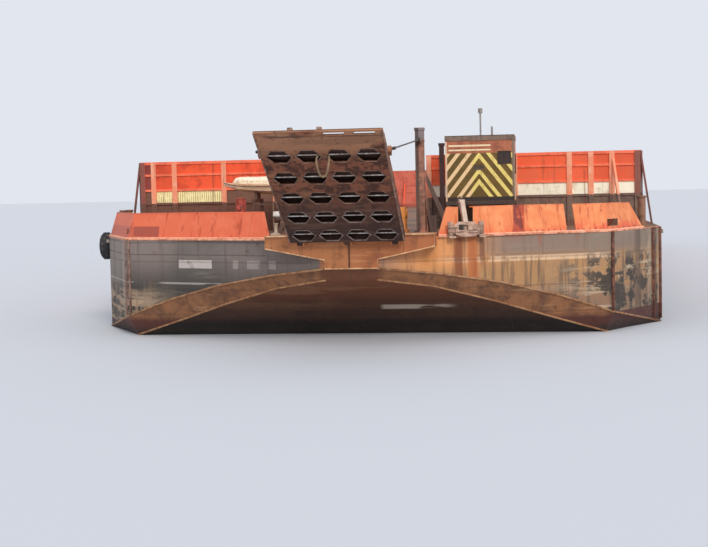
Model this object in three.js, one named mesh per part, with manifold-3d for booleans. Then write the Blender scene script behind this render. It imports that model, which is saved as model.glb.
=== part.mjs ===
// A 1:2 model of a 70 m flat-top river barge with a bow ramp, cargo sideboards and a raised deck cabin.
// Sizes below are the real barge's, in millimetres. The whole group is scaled by MODEL_SCALE at the end.
// +X points to the bow, +Y to port, +Z up. The origin is on the flat bottom, amidships, on the centreline.
import * as THREE from "three";
import { mergeVertices } from "three/addons/utils/BufferGeometryUtils.js";
import Module from "manifold-3d";

const wasm = await Module();
wasm.setup();

// Driving dimensions
const MODEL_SCALE = 0.5;
const BOW = 35050; // stem plate, from midship
const STERN = -35050;
const HALF_BEAM = 9750;
const DECK = 4270; // moulded depth
const GAP = 0.7; // between touching pieces
const STEM_HALF = 820; // half width of the flat stem panel
const STEM_FOOT = 3350; // height of the stem panel's lower edge
const SHOULDER = { x: 31840, y: 8000 };
const BILGE = 500;

// Small makers of solids
const geometryOf = (solid) => {
  const mesh = solid.getMesh();
  const position = new Float32Array(mesh.numVert * 3);
  for (let i = 0; i < mesh.numVert; i++)
    position.set(mesh.vertProperties.subarray(i * mesh.numProp, i * mesh.numProp + 3), i * 3);
  return new THREE.BufferGeometry()
    .setAttribute("position", new THREE.BufferAttribute(position, 3))
    .setIndex(new THREE.BufferAttribute(mesh.triVerts, 1));
};

const solidOf = (geometry) => {
  const bare = geometry.clone();
  bare.deleteAttribute("normal");
  bare.deleteAttribute("uv");
  const merged = mergeVertices(bare, 1e-3);
  return new wasm.Manifold(
    new wasm.Mesh({
      numProp: 3,
      vertProperties: new Float32Array(merged.attributes.position.array),
      triVerts: new Uint32Array(merged.index.array),
    }),
  );
};

// A solid carried by a matrix, and turned right side out again where the matrix mirrors it
const placed = (solid, matrix) => {
  const geometry = geometryOf(solid).applyMatrix4(matrix);
  if (matrix.determinant() < 0) geometry.index.array.reverse();
  return solidOf(geometry);
};
const shifted = (solid, x, y, z) => placed(solid, new THREE.Matrix4().makeTranslation(x, y, z));

const join = (solids) => solids.reduce((a, b) => a.add(b));
const cut = (solid, cutters) => cutters.reduce((a, b) => a.subtract(b), solid);

// A box from its low and high corners
const box = (x0, x1, y0, y1, z0, z1) =>
  solidOf(
    new THREE.BoxGeometry(x1 - x0, y1 - y0, z1 - z0).translate((x0 + x1) / 2, (y0 + y1) / 2, (z0 + z1) / 2),
  );

const shapeOf = (points) => new THREE.Shape(points.map(([a, b]) => new THREE.Vector2(a, b)));

const extruded = (points, depth) =>
  new THREE.ExtrudeGeometry(shapeOf(points), { depth, bevelEnabled: false });

// An outline in plan, [x, y], raised from z0 to z1
const planPrism = (points, z0, z1) => solidOf(extruded(points, z1 - z0).translate(0, 0, z0));

// An outline seen from ahead, [y, z], run from x0 to x1
const frontPrism = (points, x0, x1) => {
  const facingAhead = new THREE.Matrix4().set(0, 0, 1, x0, 1, 0, 0, 0, 0, 1, 0, 0, 0, 0, 0, 1);
  return solidOf(extruded(points, x1 - x0).applyMatrix4(facingAhead));
};

// An outline seen from the side, [x, z], run from y0 to y1
const sidePrism = (points, y0, y1) => {
  const facingAside = new THREE.Matrix4().set(1, 0, 0, 0, 0, 0, -1, y1, 0, 1, 0, 0, 0, 0, 0, 1);
  return solidOf(extruded(points, y1 - y0).applyMatrix4(facingAside));
};

// A matrix that carries +Z onto the line from a to b, with a at the origin of the piece
const alongLine = (a, b) => {
  const from = new THREE.Vector3(...a);
  const way = new THREE.Vector3(...b).sub(from);
  const up = new THREE.Vector3(0, 0, 1);
  const turn = new THREE.Quaternion().setFromUnitVectors(up, way.clone().normalize());
  const matrix = new THREE.Matrix4().compose(from, turn, new THREE.Vector3(1, 1, 1));
  return { length: way.length(), matrix };
};

const bar = (a, b, width, depth) => {
  const { length, matrix } = alongLine(a, b);
  const block = new THREE.BoxGeometry(width, depth, length).translate(0, 0, length / 2);
  return solidOf(block.applyMatrix4(matrix));
};

const pipe = (a, b, radius, sides = 16) => {
  const { length, matrix } = alongLine(a, b);
  return solidOf(
    new THREE.CylinderGeometry(radius, radius, length, sides)
      .rotateX(Math.PI / 2)
      .translate(0, 0, length / 2)
      .applyMatrix4(matrix),
  );
};

// A ring or drum turned about an axis: profile is [radius, along], at is its middle
const turned = (profile, sides, axis, at) => {
  const lathe = new THREE.Vector3(0, 1, 0);
  const turn = new THREE.Quaternion().setFromUnitVectors(lathe, new THREE.Vector3(...axis));
  return solidOf(
    new THREE.LatheGeometry(profile.map(([r, h]) => new THREE.Vector2(r, h)), sides)
      .applyQuaternion(turn)
      .translate(...at),
  );
};

const paint = (color, roughness = 0.7, metalness = 0.1) =>
  new THREE.MeshStandardMaterial({ color, roughness, metalness });
const PAINT = {
  hull: paint(0x5b5852, 0.75),
  rust: paint(0xa8642f, 0.9),
  orange: paint(0xe0603a, 0.65),
  red: paint(0xd8401f, 0.6),
  dark: paint(0x3a2c22, 0.9),
  steel: paint(0x77706a, 0.7, 0.4),
  cream: paint(0xe6dcae, 0.7),
  rubber: paint(0x17181b, 0.95, 0),
  galvanised: paint(0x8c8a83, 0.55, 0.6),
  rope: paint(0xb8a074, 0.95, 0),
};

const barge = new THREE.Group();
const add = (name, solid, material, parent = barge) => {
  const mesh = new THREE.Mesh(geometryOf(solid), material);
  mesh.name = name;
  parent.add(mesh);
  return mesh;
};
const SIDES = [
  ["port", 1],
  ["starboard", -1],
];
const acrossKeel = new THREE.Matrix4().makeScale(1, -1, 1);
const mirrored = (solid, side) => (side > 0 ? solid : placed(solid, acrossKeel));

// A skin stretched over rings of points, each ring with the same count, closed at both ends
const loft = (rings) => {
  const count = rings[0].length;
  const faces = [];
  const quad = (a, b, c, d) => faces.push(a, b, c, a, c, d);
  for (let r = 0; r + 1 < rings.length; r++)
    for (let k = 0; k < count; k++) {
      const next = (k + 1) % count;
      quad(r * count + k, (r + 1) * count + k, (r + 1) * count + next, r * count + next);
    }
  const last = (rings.length - 1) * count;
  let [low, high] = [0, count - 1];
  const cap = (a, b, c) => faces.push(a, b, c, last + a, last + c, last + b);
  while (low + 1 < high) {
    cap(low, low + 1, high);
    low += 1;
    if (low + 1 < high) cap(low, high - 1, high);
    high -= 1;
  }
  const build = (index) =>
    new wasm.Manifold(
      new wasm.Mesh({
        numProp: 3,
        vertProperties: new Float32Array(rings.flat(2)),
        triVerts: new Uint32Array(index),
      }),
    );
  const solid = build(faces);
  return solid.volume() > 0 ? solid : build(faces.slice().reverse());
};

// Hull: sections from the stem aft. The upper knuckle sweeps down from the stem in an arch, and a chamfer
// narrows from it to the edge of the spoon-shaped rake.
const HULL_SECTIONS = [
  // deck edge and upper knuckle [x, y], upper knuckle z, lower knuckle [x, y], lower knuckle z
  { deck: [BOW, STEM_HALF], knuckle: STEM_FOOT, foot: [34700, 790], floor: 2990 },
  { deck: [34232, 2650], knuckle: 3120, foot: [33900, 2500], floor: 2700 },
  { deck: [33405, 4500], knuckle: 2780, foot: [33060, 4330], floor: 2160 },
  { deck: [32600, 6300], knuckle: 2290, foot: [32250, 6110], floor: 1560 },
  { deck: [SHOULDER.x, SHOULDER.y], knuckle: 1680, foot: [31500, 7780], floor: 1020 },
  { deck: [28270, HALF_BEAM], knuckle: 1020, foot: [28000, 9300], floor: 330 },
  { deck: [24770, HALF_BEAM], knuckle: BILGE, foot: [24770, 9300], floor: 0 },
  { deck: [-27500, HALF_BEAM], knuckle: BILGE, foot: [-27500, 9300], floor: 0 },
  { deck: [-34300, HALF_BEAM], knuckle: 2250, foot: [-34300, 9300], floor: 1750 },
  { deck: [STERN, 9150], knuckle: 2440, foot: [STERN, 8750], floor: 1940 },
];
const hullSolid = () =>
  loft(
    HULL_SECTIONS.map(({ deck: [x, y], knuckle, foot, floor }) => [
      [x, y, DECK],
      [x, y, knuckle],
      [foot[0], foot[1], floor],
      [foot[0], -foot[1], floor],
      [x, -y, knuckle],
      [x, -y, DECK],
    ]),
  );
const hull = hullSolid();
add("hull", hull, PAINT.hull);

// The deck edge of the swept face at a given y
const sweptX = (y) => BOW - ((Math.abs(y) - STEM_HALF) * (BOW - SHOULDER.x)) / (SHOULDER.y - STEM_HALF);
const FLOOR = DECK + GAP; // what stands on the deck starts here

// Bow platform: the square-ended overhang that carries the ramp, with its lugs and hinge pins
const HINGE = { x: 35330, z: 4200, pin: 55 };
const PLATFORM_FRONT = 35090;
const LUG_ROWS = [-1450, 0, 1450]; // y of each hinge
const LUG = { out: 130, in: 95, half: 110 }; // faces of a lug pair about its row

const bowPlatform = () => {
  const outline = [
    [-2600, 4370],
    [-2600, 4000],
    [-760, 3630],
    [-760, 3360],
    [860, 3360],
    [860, 3630],
    [2600, 4000],
    [2600, 4370],
  ];
  const block = frontPrism(outline, 33600, PLATFORM_FRONT);
  const nose = block.subtract(shifted(hull, GAP, 0, GAP));
  const lugs = LUG_ROWS.flatMap((y) => [
    box(PLATFORM_FRONT - 20, HINGE.x + 110, y - LUG.out, y - LUG.in, HINGE.z - 110, HINGE.z + 100),
    box(PLATFORM_FRONT - 20, HINGE.x + 110, y + LUG.in, y + LUG.out, HINGE.z - 110, HINGE.z + 100),
    pipe([HINGE.x, y - LUG.out - 20, HINGE.z], [HINGE.x, y + LUG.out + 20, HINGE.z], HINGE.pin, 24),
  ]);
  return join([nose, ...lugs]);
};
add("bow_platform", bowPlatform(), PAINT.rust);

// Ramp: a box-plated flap with hexagonal lightening holes underneath, thinned to a slotted lip at its end.
// Drawn flat with u along +X from the hinge axis, then raised by RAMP.rise.
const RAMP = { rise: 32.6, heel: 150, end: 5640, half: 1750, low: -110, high: 190, plate: 40, web: 30 };
const LIP = {
  from: 5600,
  end: 5960,
  high: -45,
  slot: [5745, 5890],
  slotHalf: 285,
  slotRows: [415, 1240], // only the two to port are left open
};
const HEX = { rows: [560, 1600, 2650, 3710, 4790], columns: [-1240, -415, 415, 1240], radius: 360 };
const CELL_ENDS = [210, 1080, 2125, 3180, 4250, 5320];
const CELL_SIDES = [-1700, -828, 0, 828, 1700];
const WIRE_EYE = { u: 4700, y: 1850, w: 120 };
const rampPlace = new THREE.Matrix4()
  .makeTranslation(HINGE.x, 0, HINGE.z)
  .multiply(new THREE.Matrix4().makeRotationY(-THREE.MathUtils.degToRad(RAMP.rise)));
const raised = (solid) => placed(solid, rampPlace);

// The driving plate slopes down towards the lip from its full depth at the heel
const TAPER = { from: 3000, drop: 170 };
const plateTop = (u) =>
  u < TAPER.from ? RAMP.high : RAMP.high - ((u - TAPER.from) * TAPER.drop) / (RAMP.end - TAPER.from);

const rampCell = (u0, u1, v0, v1) => {
  const [floor, roof] = [RAMP.low + RAMP.plate, (u) => plateTop(u) - RAMP.plate];
  const outline = [
    [u0, floor],
    [u1, floor],
    [u1, roof(u1)],
    ...(u0 < TAPER.from && TAPER.from < u1 ? [[TAPER.from, roof(TAPER.from)]] : []),
    [u0, roof(u0)],
  ];
  return sidePrism(outline, v0, v1);
};

const hexHole = (u, v) => {
  const corners = [90, 150, 210, 270, 330, 390].map((degrees) => {
    const a = THREE.MathUtils.degToRad(degrees);
    return [u + HEX.radius * Math.cos(a), v + HEX.radius * Math.sin(a)];
  });
  return planPrism(corners, RAMP.low - 10, RAMP.low + RAMP.plate + 10);
};

const rampSolid = () => {
  const { heel, end, half, low, high, web } = RAMP;
  const outline = [
    [heel, low],
    [end, low],
    [end, plateTop(end)],
    [TAPER.from, high],
    [heel, high],
  ];
  const block = sidePrism(outline, -half, half);
  const lip = box(LIP.from, LIP.end, -half, half, low, LIP.high);
  const cells = [];
  for (let i = 0; i + 1 < CELL_ENDS.length; i++)
    for (let j = 0; j + 1 < CELL_SIDES.length; j++)
      cells.push(
        rampCell(
          CELL_ENDS[i] + web / 2,
          CELL_ENDS[i + 1] - web / 2,
          CELL_SIDES[j] + web / 2,
          CELL_SIDES[j + 1] - web / 2,
        ),
      );
  const holes = HEX.rows.flatMap((u) => HEX.columns.map((v) => hexHole(u, v)));
  const slots = LIP.slotRows.map((v) =>
    box(...LIP.slot, v - LIP.slotHalf, v + LIP.slotHalf, low - 10, LIP.high + 10),
  );
  const eyes = SIDES.map(([, side]) =>
    box(WIRE_EYE.u - 90, WIRE_EYE.u + 90, side * 1790 - 50, side * 1790 + 50, -30, 180),
  );
  const knuckles = LUG_ROWS.map((y) =>
    box(-90, heel + 20, y - LUG.in + 12, y + LUG.in - 12, -80, 80).subtract(
      pipe([0, y - 200, 0], [0, y + 200, 0], HINGE.pin + 2.2, 24),
    ),
  );
  const shell = cut(join([block, lip]), [...cells, ...holes, ...slots]);
  return raised(join([shell, ...eyes, ...knuckles]));
};
add("ramp", rampSolid(), PAINT.dark);

// Lashing: a loop of rope passed round the web between two holes of the ramp, left hanging below them
const LASHING = {
  radius: 30,
  route: [
    [39377, -16.4, 6766],
    [39377, -64, 6766],
    [39388, -112, 6748],
    [39412, -156, 6712],
    [39438, -188, 6655],
    [39451, -200, 6585],
    [39455, -196, 6495],
    [39455, -180, 6400],
    [39455, -158, 6310],
    [39455, -128, 6225],
    [39455, -84, 6158],
    [39455, -24, 6128],
    [39455, 36, 6152],
    [39455, 78, 6215],
    [39455, 104, 6300],
    [39455, 122, 6395],
    [39455, 136, 6490],
    [39451, 146, 6580],
    [39438, 146, 6650],
    [39412, 130, 6710],
    [39388, 98, 6748],
    [39377, 58, 6766],
    [39377, 16.4, 6766],
  ],
};
const ropeAlong = ({ radius, route }) => {
  const corners = Array.from({ length: 8 }, (_, i) => {
    const a = (i / 8) * 2 * Math.PI;
    return [radius * Math.cos(a), radius * Math.sin(a)];
  });
  const path = new THREE.CatmullRomCurve3(route.map((point) => new THREE.Vector3(...point)));
  return solidOf(new THREE.ExtrudeGeometry(shapeOf(corners), { steps: 44, extrudePath: path }));
};
add("ramp_lashing", ropeAlong(LASHING), PAINT.rope);

// King posts: the pair of masts the ramp hangs from, each with a sheave fork, braces and a cap
const POST = { x: 31680, y: 1895, half: 140, top: 7640 };
const SHEAVE = { x: 32000, z: 7300, pin: 30 };

const kingPost = () => {
  const { x, y, half, top } = POST;
  return join([
    box(x - half, x + half, y - half, y + half, FLOOR, top),
    box(x - half - 20, x + half + 20, y - half - 20, y + half + 20, top - 30, top + 60),
    box(x - 350, x + 350, y - 300, y + 300, FLOOR, FLOOR + 40),
    box(x - 580, x - half + 10, y + 165, y + 475, FLOOR, FLOOR + 560),
    bar([x, y + 60, 6400], [x, 2830, FLOOR + 60], 130, 130),
    bar([x - 60, y + 100, 5950], [x - 60, y + 330, FLOOR + 30], 70, 70),
    bar([x - 60, y, 6900], [x - 2300, y, FLOOR + 60], 130, 130),
    box(x - 2420, x - 2180, y - 120, y + 120, FLOOR, FLOOR + 40),
    box(x - 120, x + 120, 2740, 2960, FLOOR, FLOOR + 40),
    box(x + 60, SHEAVE.x + 90, y - 85, y - 55, SHEAVE.z - 90, SHEAVE.z + 90),
    box(x + 60, SHEAVE.x + 90, y + 55, y + 85, SHEAVE.z - 90, SHEAVE.z + 90),
    pipe([SHEAVE.x, y - 100, SHEAVE.z], [SHEAVE.x, y + 100, SHEAVE.z], SHEAVE.pin, 24),
  ]);
};

// Hoist wires: each swings about its sheave pin and ends in a socket at the ramp's eye
const eyePoint = new THREE.Vector3(WIRE_EYE.u, WIRE_EYE.y, WIRE_EYE.w).applyMatrix4(rampPlace);
const hoistWire = () => {
  const start = new THREE.Vector3(SHEAVE.x, POST.y, SHEAVE.z);
  const end = new THREE.Vector3(eyePoint.x, WIRE_EYE.y + 38.8, eyePoint.z + 20);
  const way = end.clone().sub(start).normalize();
  const near = start.clone().addScaledVector(way, 50);
  const socket = end.clone().addScaledVector(way, -300);
  const ring = cut(pipe([SHEAVE.x, POST.y - 48, SHEAVE.z], [SHEAVE.x, POST.y + 48, SHEAVE.z], 80, 16), [
    pipe([SHEAVE.x, POST.y - 60, SHEAVE.z], [SHEAVE.x, POST.y + 60, SHEAVE.z], SHEAVE.pin + 1.8, 24),
  ]);
  const rope = pipe(near.toArray(), end.toArray(), 24, 8);
  const clamp = pipe(socket.toArray(), end.toArray(), 48, 16);
  return join([ring, rope, clamp]);
};
SIDES.forEach(([word, side]) => {
  add(`king_post_${word}`, mirrored(kingPost(), side), PAINT.rust);
  add(`hoist_wire_${word}`, mirrored(hoistWire(), side), PAINT.galvanised);
});

// Bulwarks: raking plates along the bow's deck edge, with stays behind. A path's corners are x, y and the way in,
// and at an end that is cut aslant also the top's shift in x and y.
const LEAN = 260;
const bulwark = (path, height, stays) => {
  const rings = path.map(([x, y, nx, ny, dx = 0, dy = 0]) => {
    const at = (depth, z, shift) => [x + nx * depth + dx * shift, y + ny * depth + dy * shift, z];
    const top = FLOOR + height;
    return [at(40, FLOOR, 0), at(90, FLOOR, 0), at(90 + LEAN, top, 1), at(40 + LEAN, top, 1)];
  });
  const legs = stays.map(([x, y, nx, ny]) =>
    bar([x + nx * 760, y + ny * 760, FLOOR + 35], [x + nx * 270, y + ny * 270, FLOOR + height * 0.8], 60, 60),
  );
  return join([loft(rings), ...legs]);
};
// Inward direction of the swept face and of the shoulder facet, port side
const SWEPT_IN = [-0.913, -0.408];
const FACET_IN = [-0.44, -0.898];
const onSwept = (y) => [sweptX(y), y, ...SWEPT_IN];
const SLANT = [-155, 345]; // how far the inner ends' tops stand further out
const SHOULDER_IN = [-0.72, -0.74];
const shoulderPoint = [SHOULDER.x, SHOULDER.y, ...SHOULDER_IN];
const stayRow = (from, to, count) =>
  Array.from({ length: count }, (_, i) => onSwept(from + ((to - from) * (i + 0.5)) / count));

const bulwarkStarboard = () => {
  const path = [[...onSwept(2660), ...SLANT], shoulderPoint, [28300, HALF_BEAM - 10, -0.24, -0.97]];
  const facet = [
    [30600, 8600, ...FACET_IN],
    [29300, 9230, ...FACET_IN],
  ];
  const hole = box(31100, 32000, 7950, 8330, FLOOR + 140, FLOOR + 330);
  return mirrored(bulwark(path, 840, [...stayRow(2900, 7600, 4), ...facet]).subtract(hole), -1);
};
// Notched at the hawse, where the anchor's shank leans in over the deck edge
const HAWSE = { y0: 3235, y1: 3680 };
const bulwarkPortInner = () => {
  const plate = bulwark([[...onSwept(2660), ...SLANT], onSwept(6600)], 875, stayRow(3800, 6500, 3));
  return plate.subtract(box(32000, 34600, HAWSE.y0, HAWSE.y1, FLOOR + 150, FLOOR + 1000));
};
const bulwarkPortOuter = () => {
  const path = [onSwept(6880), shoulderPoint, [29500, 9150, ...FACET_IN, 500, -245]];
  const facet = [[30700, 8560, ...FACET_IN]];
  const hole = box(31000, 32200, 7850, 8210, FLOOR + 130, FLOOR + 360);
  return bulwark(path, 860, [onSwept(7250), ...facet]).subtract(hole);
};
add("bulwark_starboard", bulwarkStarboard(), PAINT.orange);
add("bulwark_port_inner", bulwarkPortInner(), PAINT.orange);
add("bulwark_port_outer", bulwarkPortOuter(), PAINT.orange);

// Cargo sideboards: planked walls on posts, standing inboard of the deck edge
const BOARD = { front: 25790, aft: -25200, y: 9290, foot: 5370, top: 6930, thick: 60 };

const sideBoards = (x0, x1) => {
  const { y, top, thick } = BOARD;
  const wall = box(x0, x1, y - 60 - thick, y - 60, FLOOR + 180, top - 40);
  const rails = [
    [top - 120, top],
    [5760, 5860],
    [FLOOR + 120, FLOOR + 260],
  ].map(([z0, z1]) => box(x0, x1, y - 100, y + 20, z0, z1));
  const bays = Math.round((x1 - x0) / 4200);
  const posts = Array.from({ length: bays + 1 }, (_, i) => {
    const x = x0 + 70 + ((x1 - x0 - 140) * i) / bays;
    return [
      box(x - 65, x + 65, y - 70, y + 70, FLOOR, top - 20),
      bar([x, y - 100, 6350], [x, y - 1150, FLOOR + 60], 90, 90),
    ];
  });
  return join([wall, ...rails, ...posts.flat()]);
};
const BOARD_RUNS = [
  ["fore", 8800, BOARD.front - 140],
  ["mid", -8200, 8780],
  ["aft", BOARD.aft, -8220],
];
SIDES.forEach(([word, side]) => {
  BOARD_RUNS.forEach(([run, x0, x1]) => {
    add(`sideboard_${word}_${run}`, mirrored(sideBoards(x0, x1), side), PAINT.red);
  });
});

// End walls of the cargo space: boards above, a pale strip below them, then open legs. Each outer end has a
// stay that leans out to the deck edge.
const WALL_POST = 95; // half width
const endWall = (y0, y1, posts, face, outward) => {
  const { foot, top, thick } = BOARD;
  const x = (near, far) => (outward > 0 ? [face - far, face - near] : [face + near, face + far]);
  const boards = box(...x(60, 60 + thick), y0, y1, 5850, top - 30);
  const strip = box(...x(70, 110), y0 + 40, y1 - 40, foot, 5860);
  const rails = [
    [top - 110, top],
    [6390, 6470],
    [5820, 5900],
    [foot - 60, foot + 20],
  ].map(([z0, z1]) => box(...x(20, 130), y0, y1, z0, z1));
  const legs = posts.map((y) => box(...x(0, 130), y - WALL_POST, y + WALL_POST, FLOOR, top - 20));
  const stays = posts
    .filter((y, i) => i % 2 === 0 && i > 0 && i + 1 < posts.length)
    .map((y) => bar([x(115, 115)[0], y, 6300], [face - outward * 1100, y, FLOOR + 60], 90, 90));
  const ends = [y0, y1]
    .filter((y) => Math.abs(y) > BOARD.y - 10)
    .map((y) => bar([x(65, 65)[0], y, top - 80], [x(65, 65)[0], y + Math.sign(y) * 370, FLOOR + 15], 70, 70));
  const coaming = box(...x(72, 102), y0, y1, FLOOR, foot);
  return join([boards, strip, coaming, ...rails, ...legs, ...stays, ...ends]);
};
const BOW_POSTS_STARBOARD = [-9195, -8765, -7950, -6050, -4100, -2250];
const BOW_POSTS_PORT = [1660, 3400, 4790, 6750, 7520, 8270, 9165];
const AFT_POSTS = [-9195, -6900, -4600, -2300, 0, 2300, 4600, 6900, 9195];
const bowStay = () => bar([BOARD.front - 60, 8300, 6700], [BOARD.front + 1110, 8560, FLOOR + 60], 90, 90);
add("end_wall_bow_starboard", endWall(-BOARD.y, -2150, BOW_POSTS_STARBOARD, BOARD.front, 1), PAINT.red);
add("end_wall_bow_port", endWall(1560, BOARD.y, BOW_POSTS_PORT, BOARD.front, 1).add(bowStay()), PAINT.red);
add("end_wall_aft", endWall(-BOARD.y, BOARD.y, AFT_POSTS, BOARD.aft - 160, -1), PAINT.red);

// Deck cabin on a raised frame, forward of the port end wall
const CABIN = { x0: 26250, x1: 28200, y0: 2450, y1: 4840, floor: 5240, eaves: 7340, top: 7500 };
const cabinFrame = () => {
  const { x0, x1, y0, y1, floor } = CABIN;
  const legs = [x0 + 60, x1 - 60].flatMap((x) =>
    [y0 + 60, y1 - 60].map((y) => box(x - 60, x + 60, y - 60, y + 60, FLOOR, floor - 20)),
  );
  const deck = box(x0, x1, y0, y1, floor - 120, floor - GAP);
  const rails = [box(x0, x1, y0 + 10, y0 + 110, 4600, 4700), box(x0, x1, y1 - 110, y1 - 10, 4600, 4700)];
  return join([deck, ...legs, ...rails]);
};
add("cabin_frame", cabinFrame(), PAINT.steel);

const DOOR = { x0: 26700, x1: 27420, z0: 5330, z1: 7180, hinge: 27460, pin: 25 };
const cabinWalls = () => {
  const { x0, x1, y0, y1, floor, eaves } = CABIN;
  const shell = box(x0, x1, y0, y1, floor, eaves - GAP);
  const inside = box(x0 + 50, x1 - 50, y0 + 50, y1 - 50, floor + 50, eaves + 10);
  const doorway = box(DOOR.x0, DOOR.x1, y0 - 10, y0 + 60, DOOR.z0, DOOR.z1);
  const frontWindow = box(x1 - 60, x1 + 10, 4290, 4710, 6540, 6940);
  const frontSlot = box(x1 - 60, x1 + 10, 3420, 3790, 6320, 6500);
  const sideWindow = box(26800, 27600, y1 - 60, y1 + 10, 6200, 6850);
  return cut(shell, [inside, doorway, frontWindow, frontSlot, sideWindow]);
};
add("cabin_walls", cabinWalls(), PAINT.cream);

const cabinRoof = () => {
  const { x0, x1, y0, y1, eaves, top } = CABIN;
  return join([
    box(x0 - 20, x1 + 20, y0 - 12, y1 + 12, eaves, top),
    box(x0 + 60, x1 - 60, y0 + 60, y1 - 60, eaves - 100, eaves + 10),
  ]);
};
add("cabin_roof", cabinRoof(), PAINT.dark);

const doorSolid = () => {
  const face = CABIN.y0 - GAP;
  const axis = [DOOR.hinge, face - DOOR.pin];
  return join([
    box(DOOR.x0 - 30, DOOR.hinge - 8, face - 45, face, DOOR.z0 - 30, DOOR.z1 + 30),
    box(DOOR.x0 + 60, DOOR.x0 + 100, face - 110, face - 30, 6150, 6350),
    pipe([...axis, DOOR.z0 + 20], [...axis, DOOR.z1 - 20], DOOR.pin),
  ]);
};
add("cabin_door", doorSolid(), PAINT.steel);

const cabinMast = () =>
  join([
    pipe([27900, 3680, CABIN.top + GAP], [27900, 3680, 8400], 30),
    box(27820, 27980, 3600, 3760, CABIN.top + GAP, CABIN.top + 40),
    pipe([27900, 3680, 8300], [27900, 3680, 8470], 75),
  ]);
add("cabin_mast", cabinMast(), PAINT.galvanised);
add(
  "cabin_vent",
  join([
    pipe([27500, 4060, CABIN.top + GAP], [27500, 4060, 7850], 34),
    box(27400, 27600, 3960, 4160, CABIN.top + GAP, CABIN.top + 30),
  ]),
  PAINT.galvanised,
);

// Exhaust duct: a box trunk up the cabin's starboard front corner
const cabinDuct = () =>
  join([
    box(27950, 28150, 2235, 2395, FLOOR, 7250),
    box(27910, 28190, 2195, 2430, FLOOR, FLOOR + 60),
    box(27930, 28170, 2215, 2420, 7190, 7290),
  ]);
add("cabin_duct", cabinDuct(), PAINT.dark);

// Ramp winch: a bed with two cheeks, and a drum that turns between them
const WINCH = { x: 30300, z: 4900 };
const winchBed = () =>
  join([
    box(WINCH.x - 500, WINCH.x + 500, -760, 760, FLOOR, FLOOR + 120),
    box(WINCH.x - 260, WINCH.x + 260, -690, -620, FLOOR + 60, WINCH.z + 160),
    box(WINCH.x - 260, WINCH.x + 260, 620, 690, FLOOR + 60, WINCH.z + 160),
    box(WINCH.x - 340, WINCH.x + 340, 660, 1260, FLOOR + 60, WINCH.z + 220),
    box(WINCH.x - 420, WINCH.x + 420, 700, 1320, FLOOR, FLOOR + 100),
    pipe([WINCH.x, -640, WINCH.z], [WINCH.x, -579, WINCH.z], 60, 24),
    pipe([WINCH.x, 579, WINCH.z], [WINCH.x, 640, WINCH.z], 60, 24),
  ]);
const winchDrum = () => {
  const at = (y) => [WINCH.x, y, WINCH.z];
  const body = join([
    pipe(at(-590), at(590), 190, 16),
    pipe(at(-590), at(-545), 380, 20),
    pipe(at(545), at(590), 380, 20),
    box(WINCH.x + 60, WINCH.x + 330, -590, -560, WINCH.z - 20, WINCH.z + 20),
  ]);
  return cut(body, [pipe(at(-600), at(-578), 62, 24), pipe(at(578), at(600), 62, 24)]);
};
add("ramp_winch_bed", winchBed(), PAINT.steel);
add("ramp_winch_drum", winchDrum(), PAINT.rust);

// What hangs on the swept face is drawn with +X outboard and Y along the face, then set at its y
const onFace = (solid, y, side) => {
  const place = new THREE.Matrix4()
    .makeTranslation(sweptX(y), y, 0)
    .multiply(new THREE.Matrix4().makeRotationZ(Math.atan2(-SWEPT_IN[1], -SWEPT_IN[0])));
  return mirrored(placed(solid, place), side);
};

// Anchor: stockless, hung by its shank in the hawse of the port bulwark, with the chain led over the top
const ANCHOR = { foot: 4230, crown: 4690, reach: 490 };
const anchor = () => {
  const crown = [
    [-390, 4310],
    [-150, ANCHOR.foot],
    [150, ANCHOR.foot],
    [390, 4310],
    [400, 4540],
    [190, ANCHOR.crown],
    [-190, ANCHOR.crown],
    [-400, 4540],
  ];
  const flukes = SIDES.flatMap(([, side]) => [
    bar([170, side * 380, 4430], [170, side * ANCHOR.reach, 4430], 150, 190),
    pipe([150, side * ANCHOR.reach, 4240], [130, side * (ANCHOR.reach + 15), 4700], 88, 12),
    box(60, 320, side * ANCHOR.reach - 105, side * ANCHOR.reach + 105, 4200, 4262),
  ]);
  const body = frontPrism(crown, GAP, 300).subtract(box(190, 320, -135, 15, 4430, 4600));
  return join([
    body,
    ...flukes,
    bar([130, 0, 4600], [-205, 0, 5330], 130, 150),
    pipe([-205, -95, 5310], [-205, 95, 5310], 62),
  ]);
};
const anchorChain = () =>
  join([
    pipe([-225, 0, 5416], [-430, 0, 5370], 42, 12),
    pipe([-430, 0, 5370], [-960, 0, 4420], 42, 12),
    box(-1200, -800, -160, 160, FLOOR, FLOOR + 60),
    box(-1060, -880, -110, 110, FLOOR, FLOOR + 260),
  ]);
add("anchor", onFace(anchor(), 3430, 1), PAINT.steel);
add("anchor_chain", onFace(anchorChain(), 3430, 1), PAINT.rust);

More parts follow.
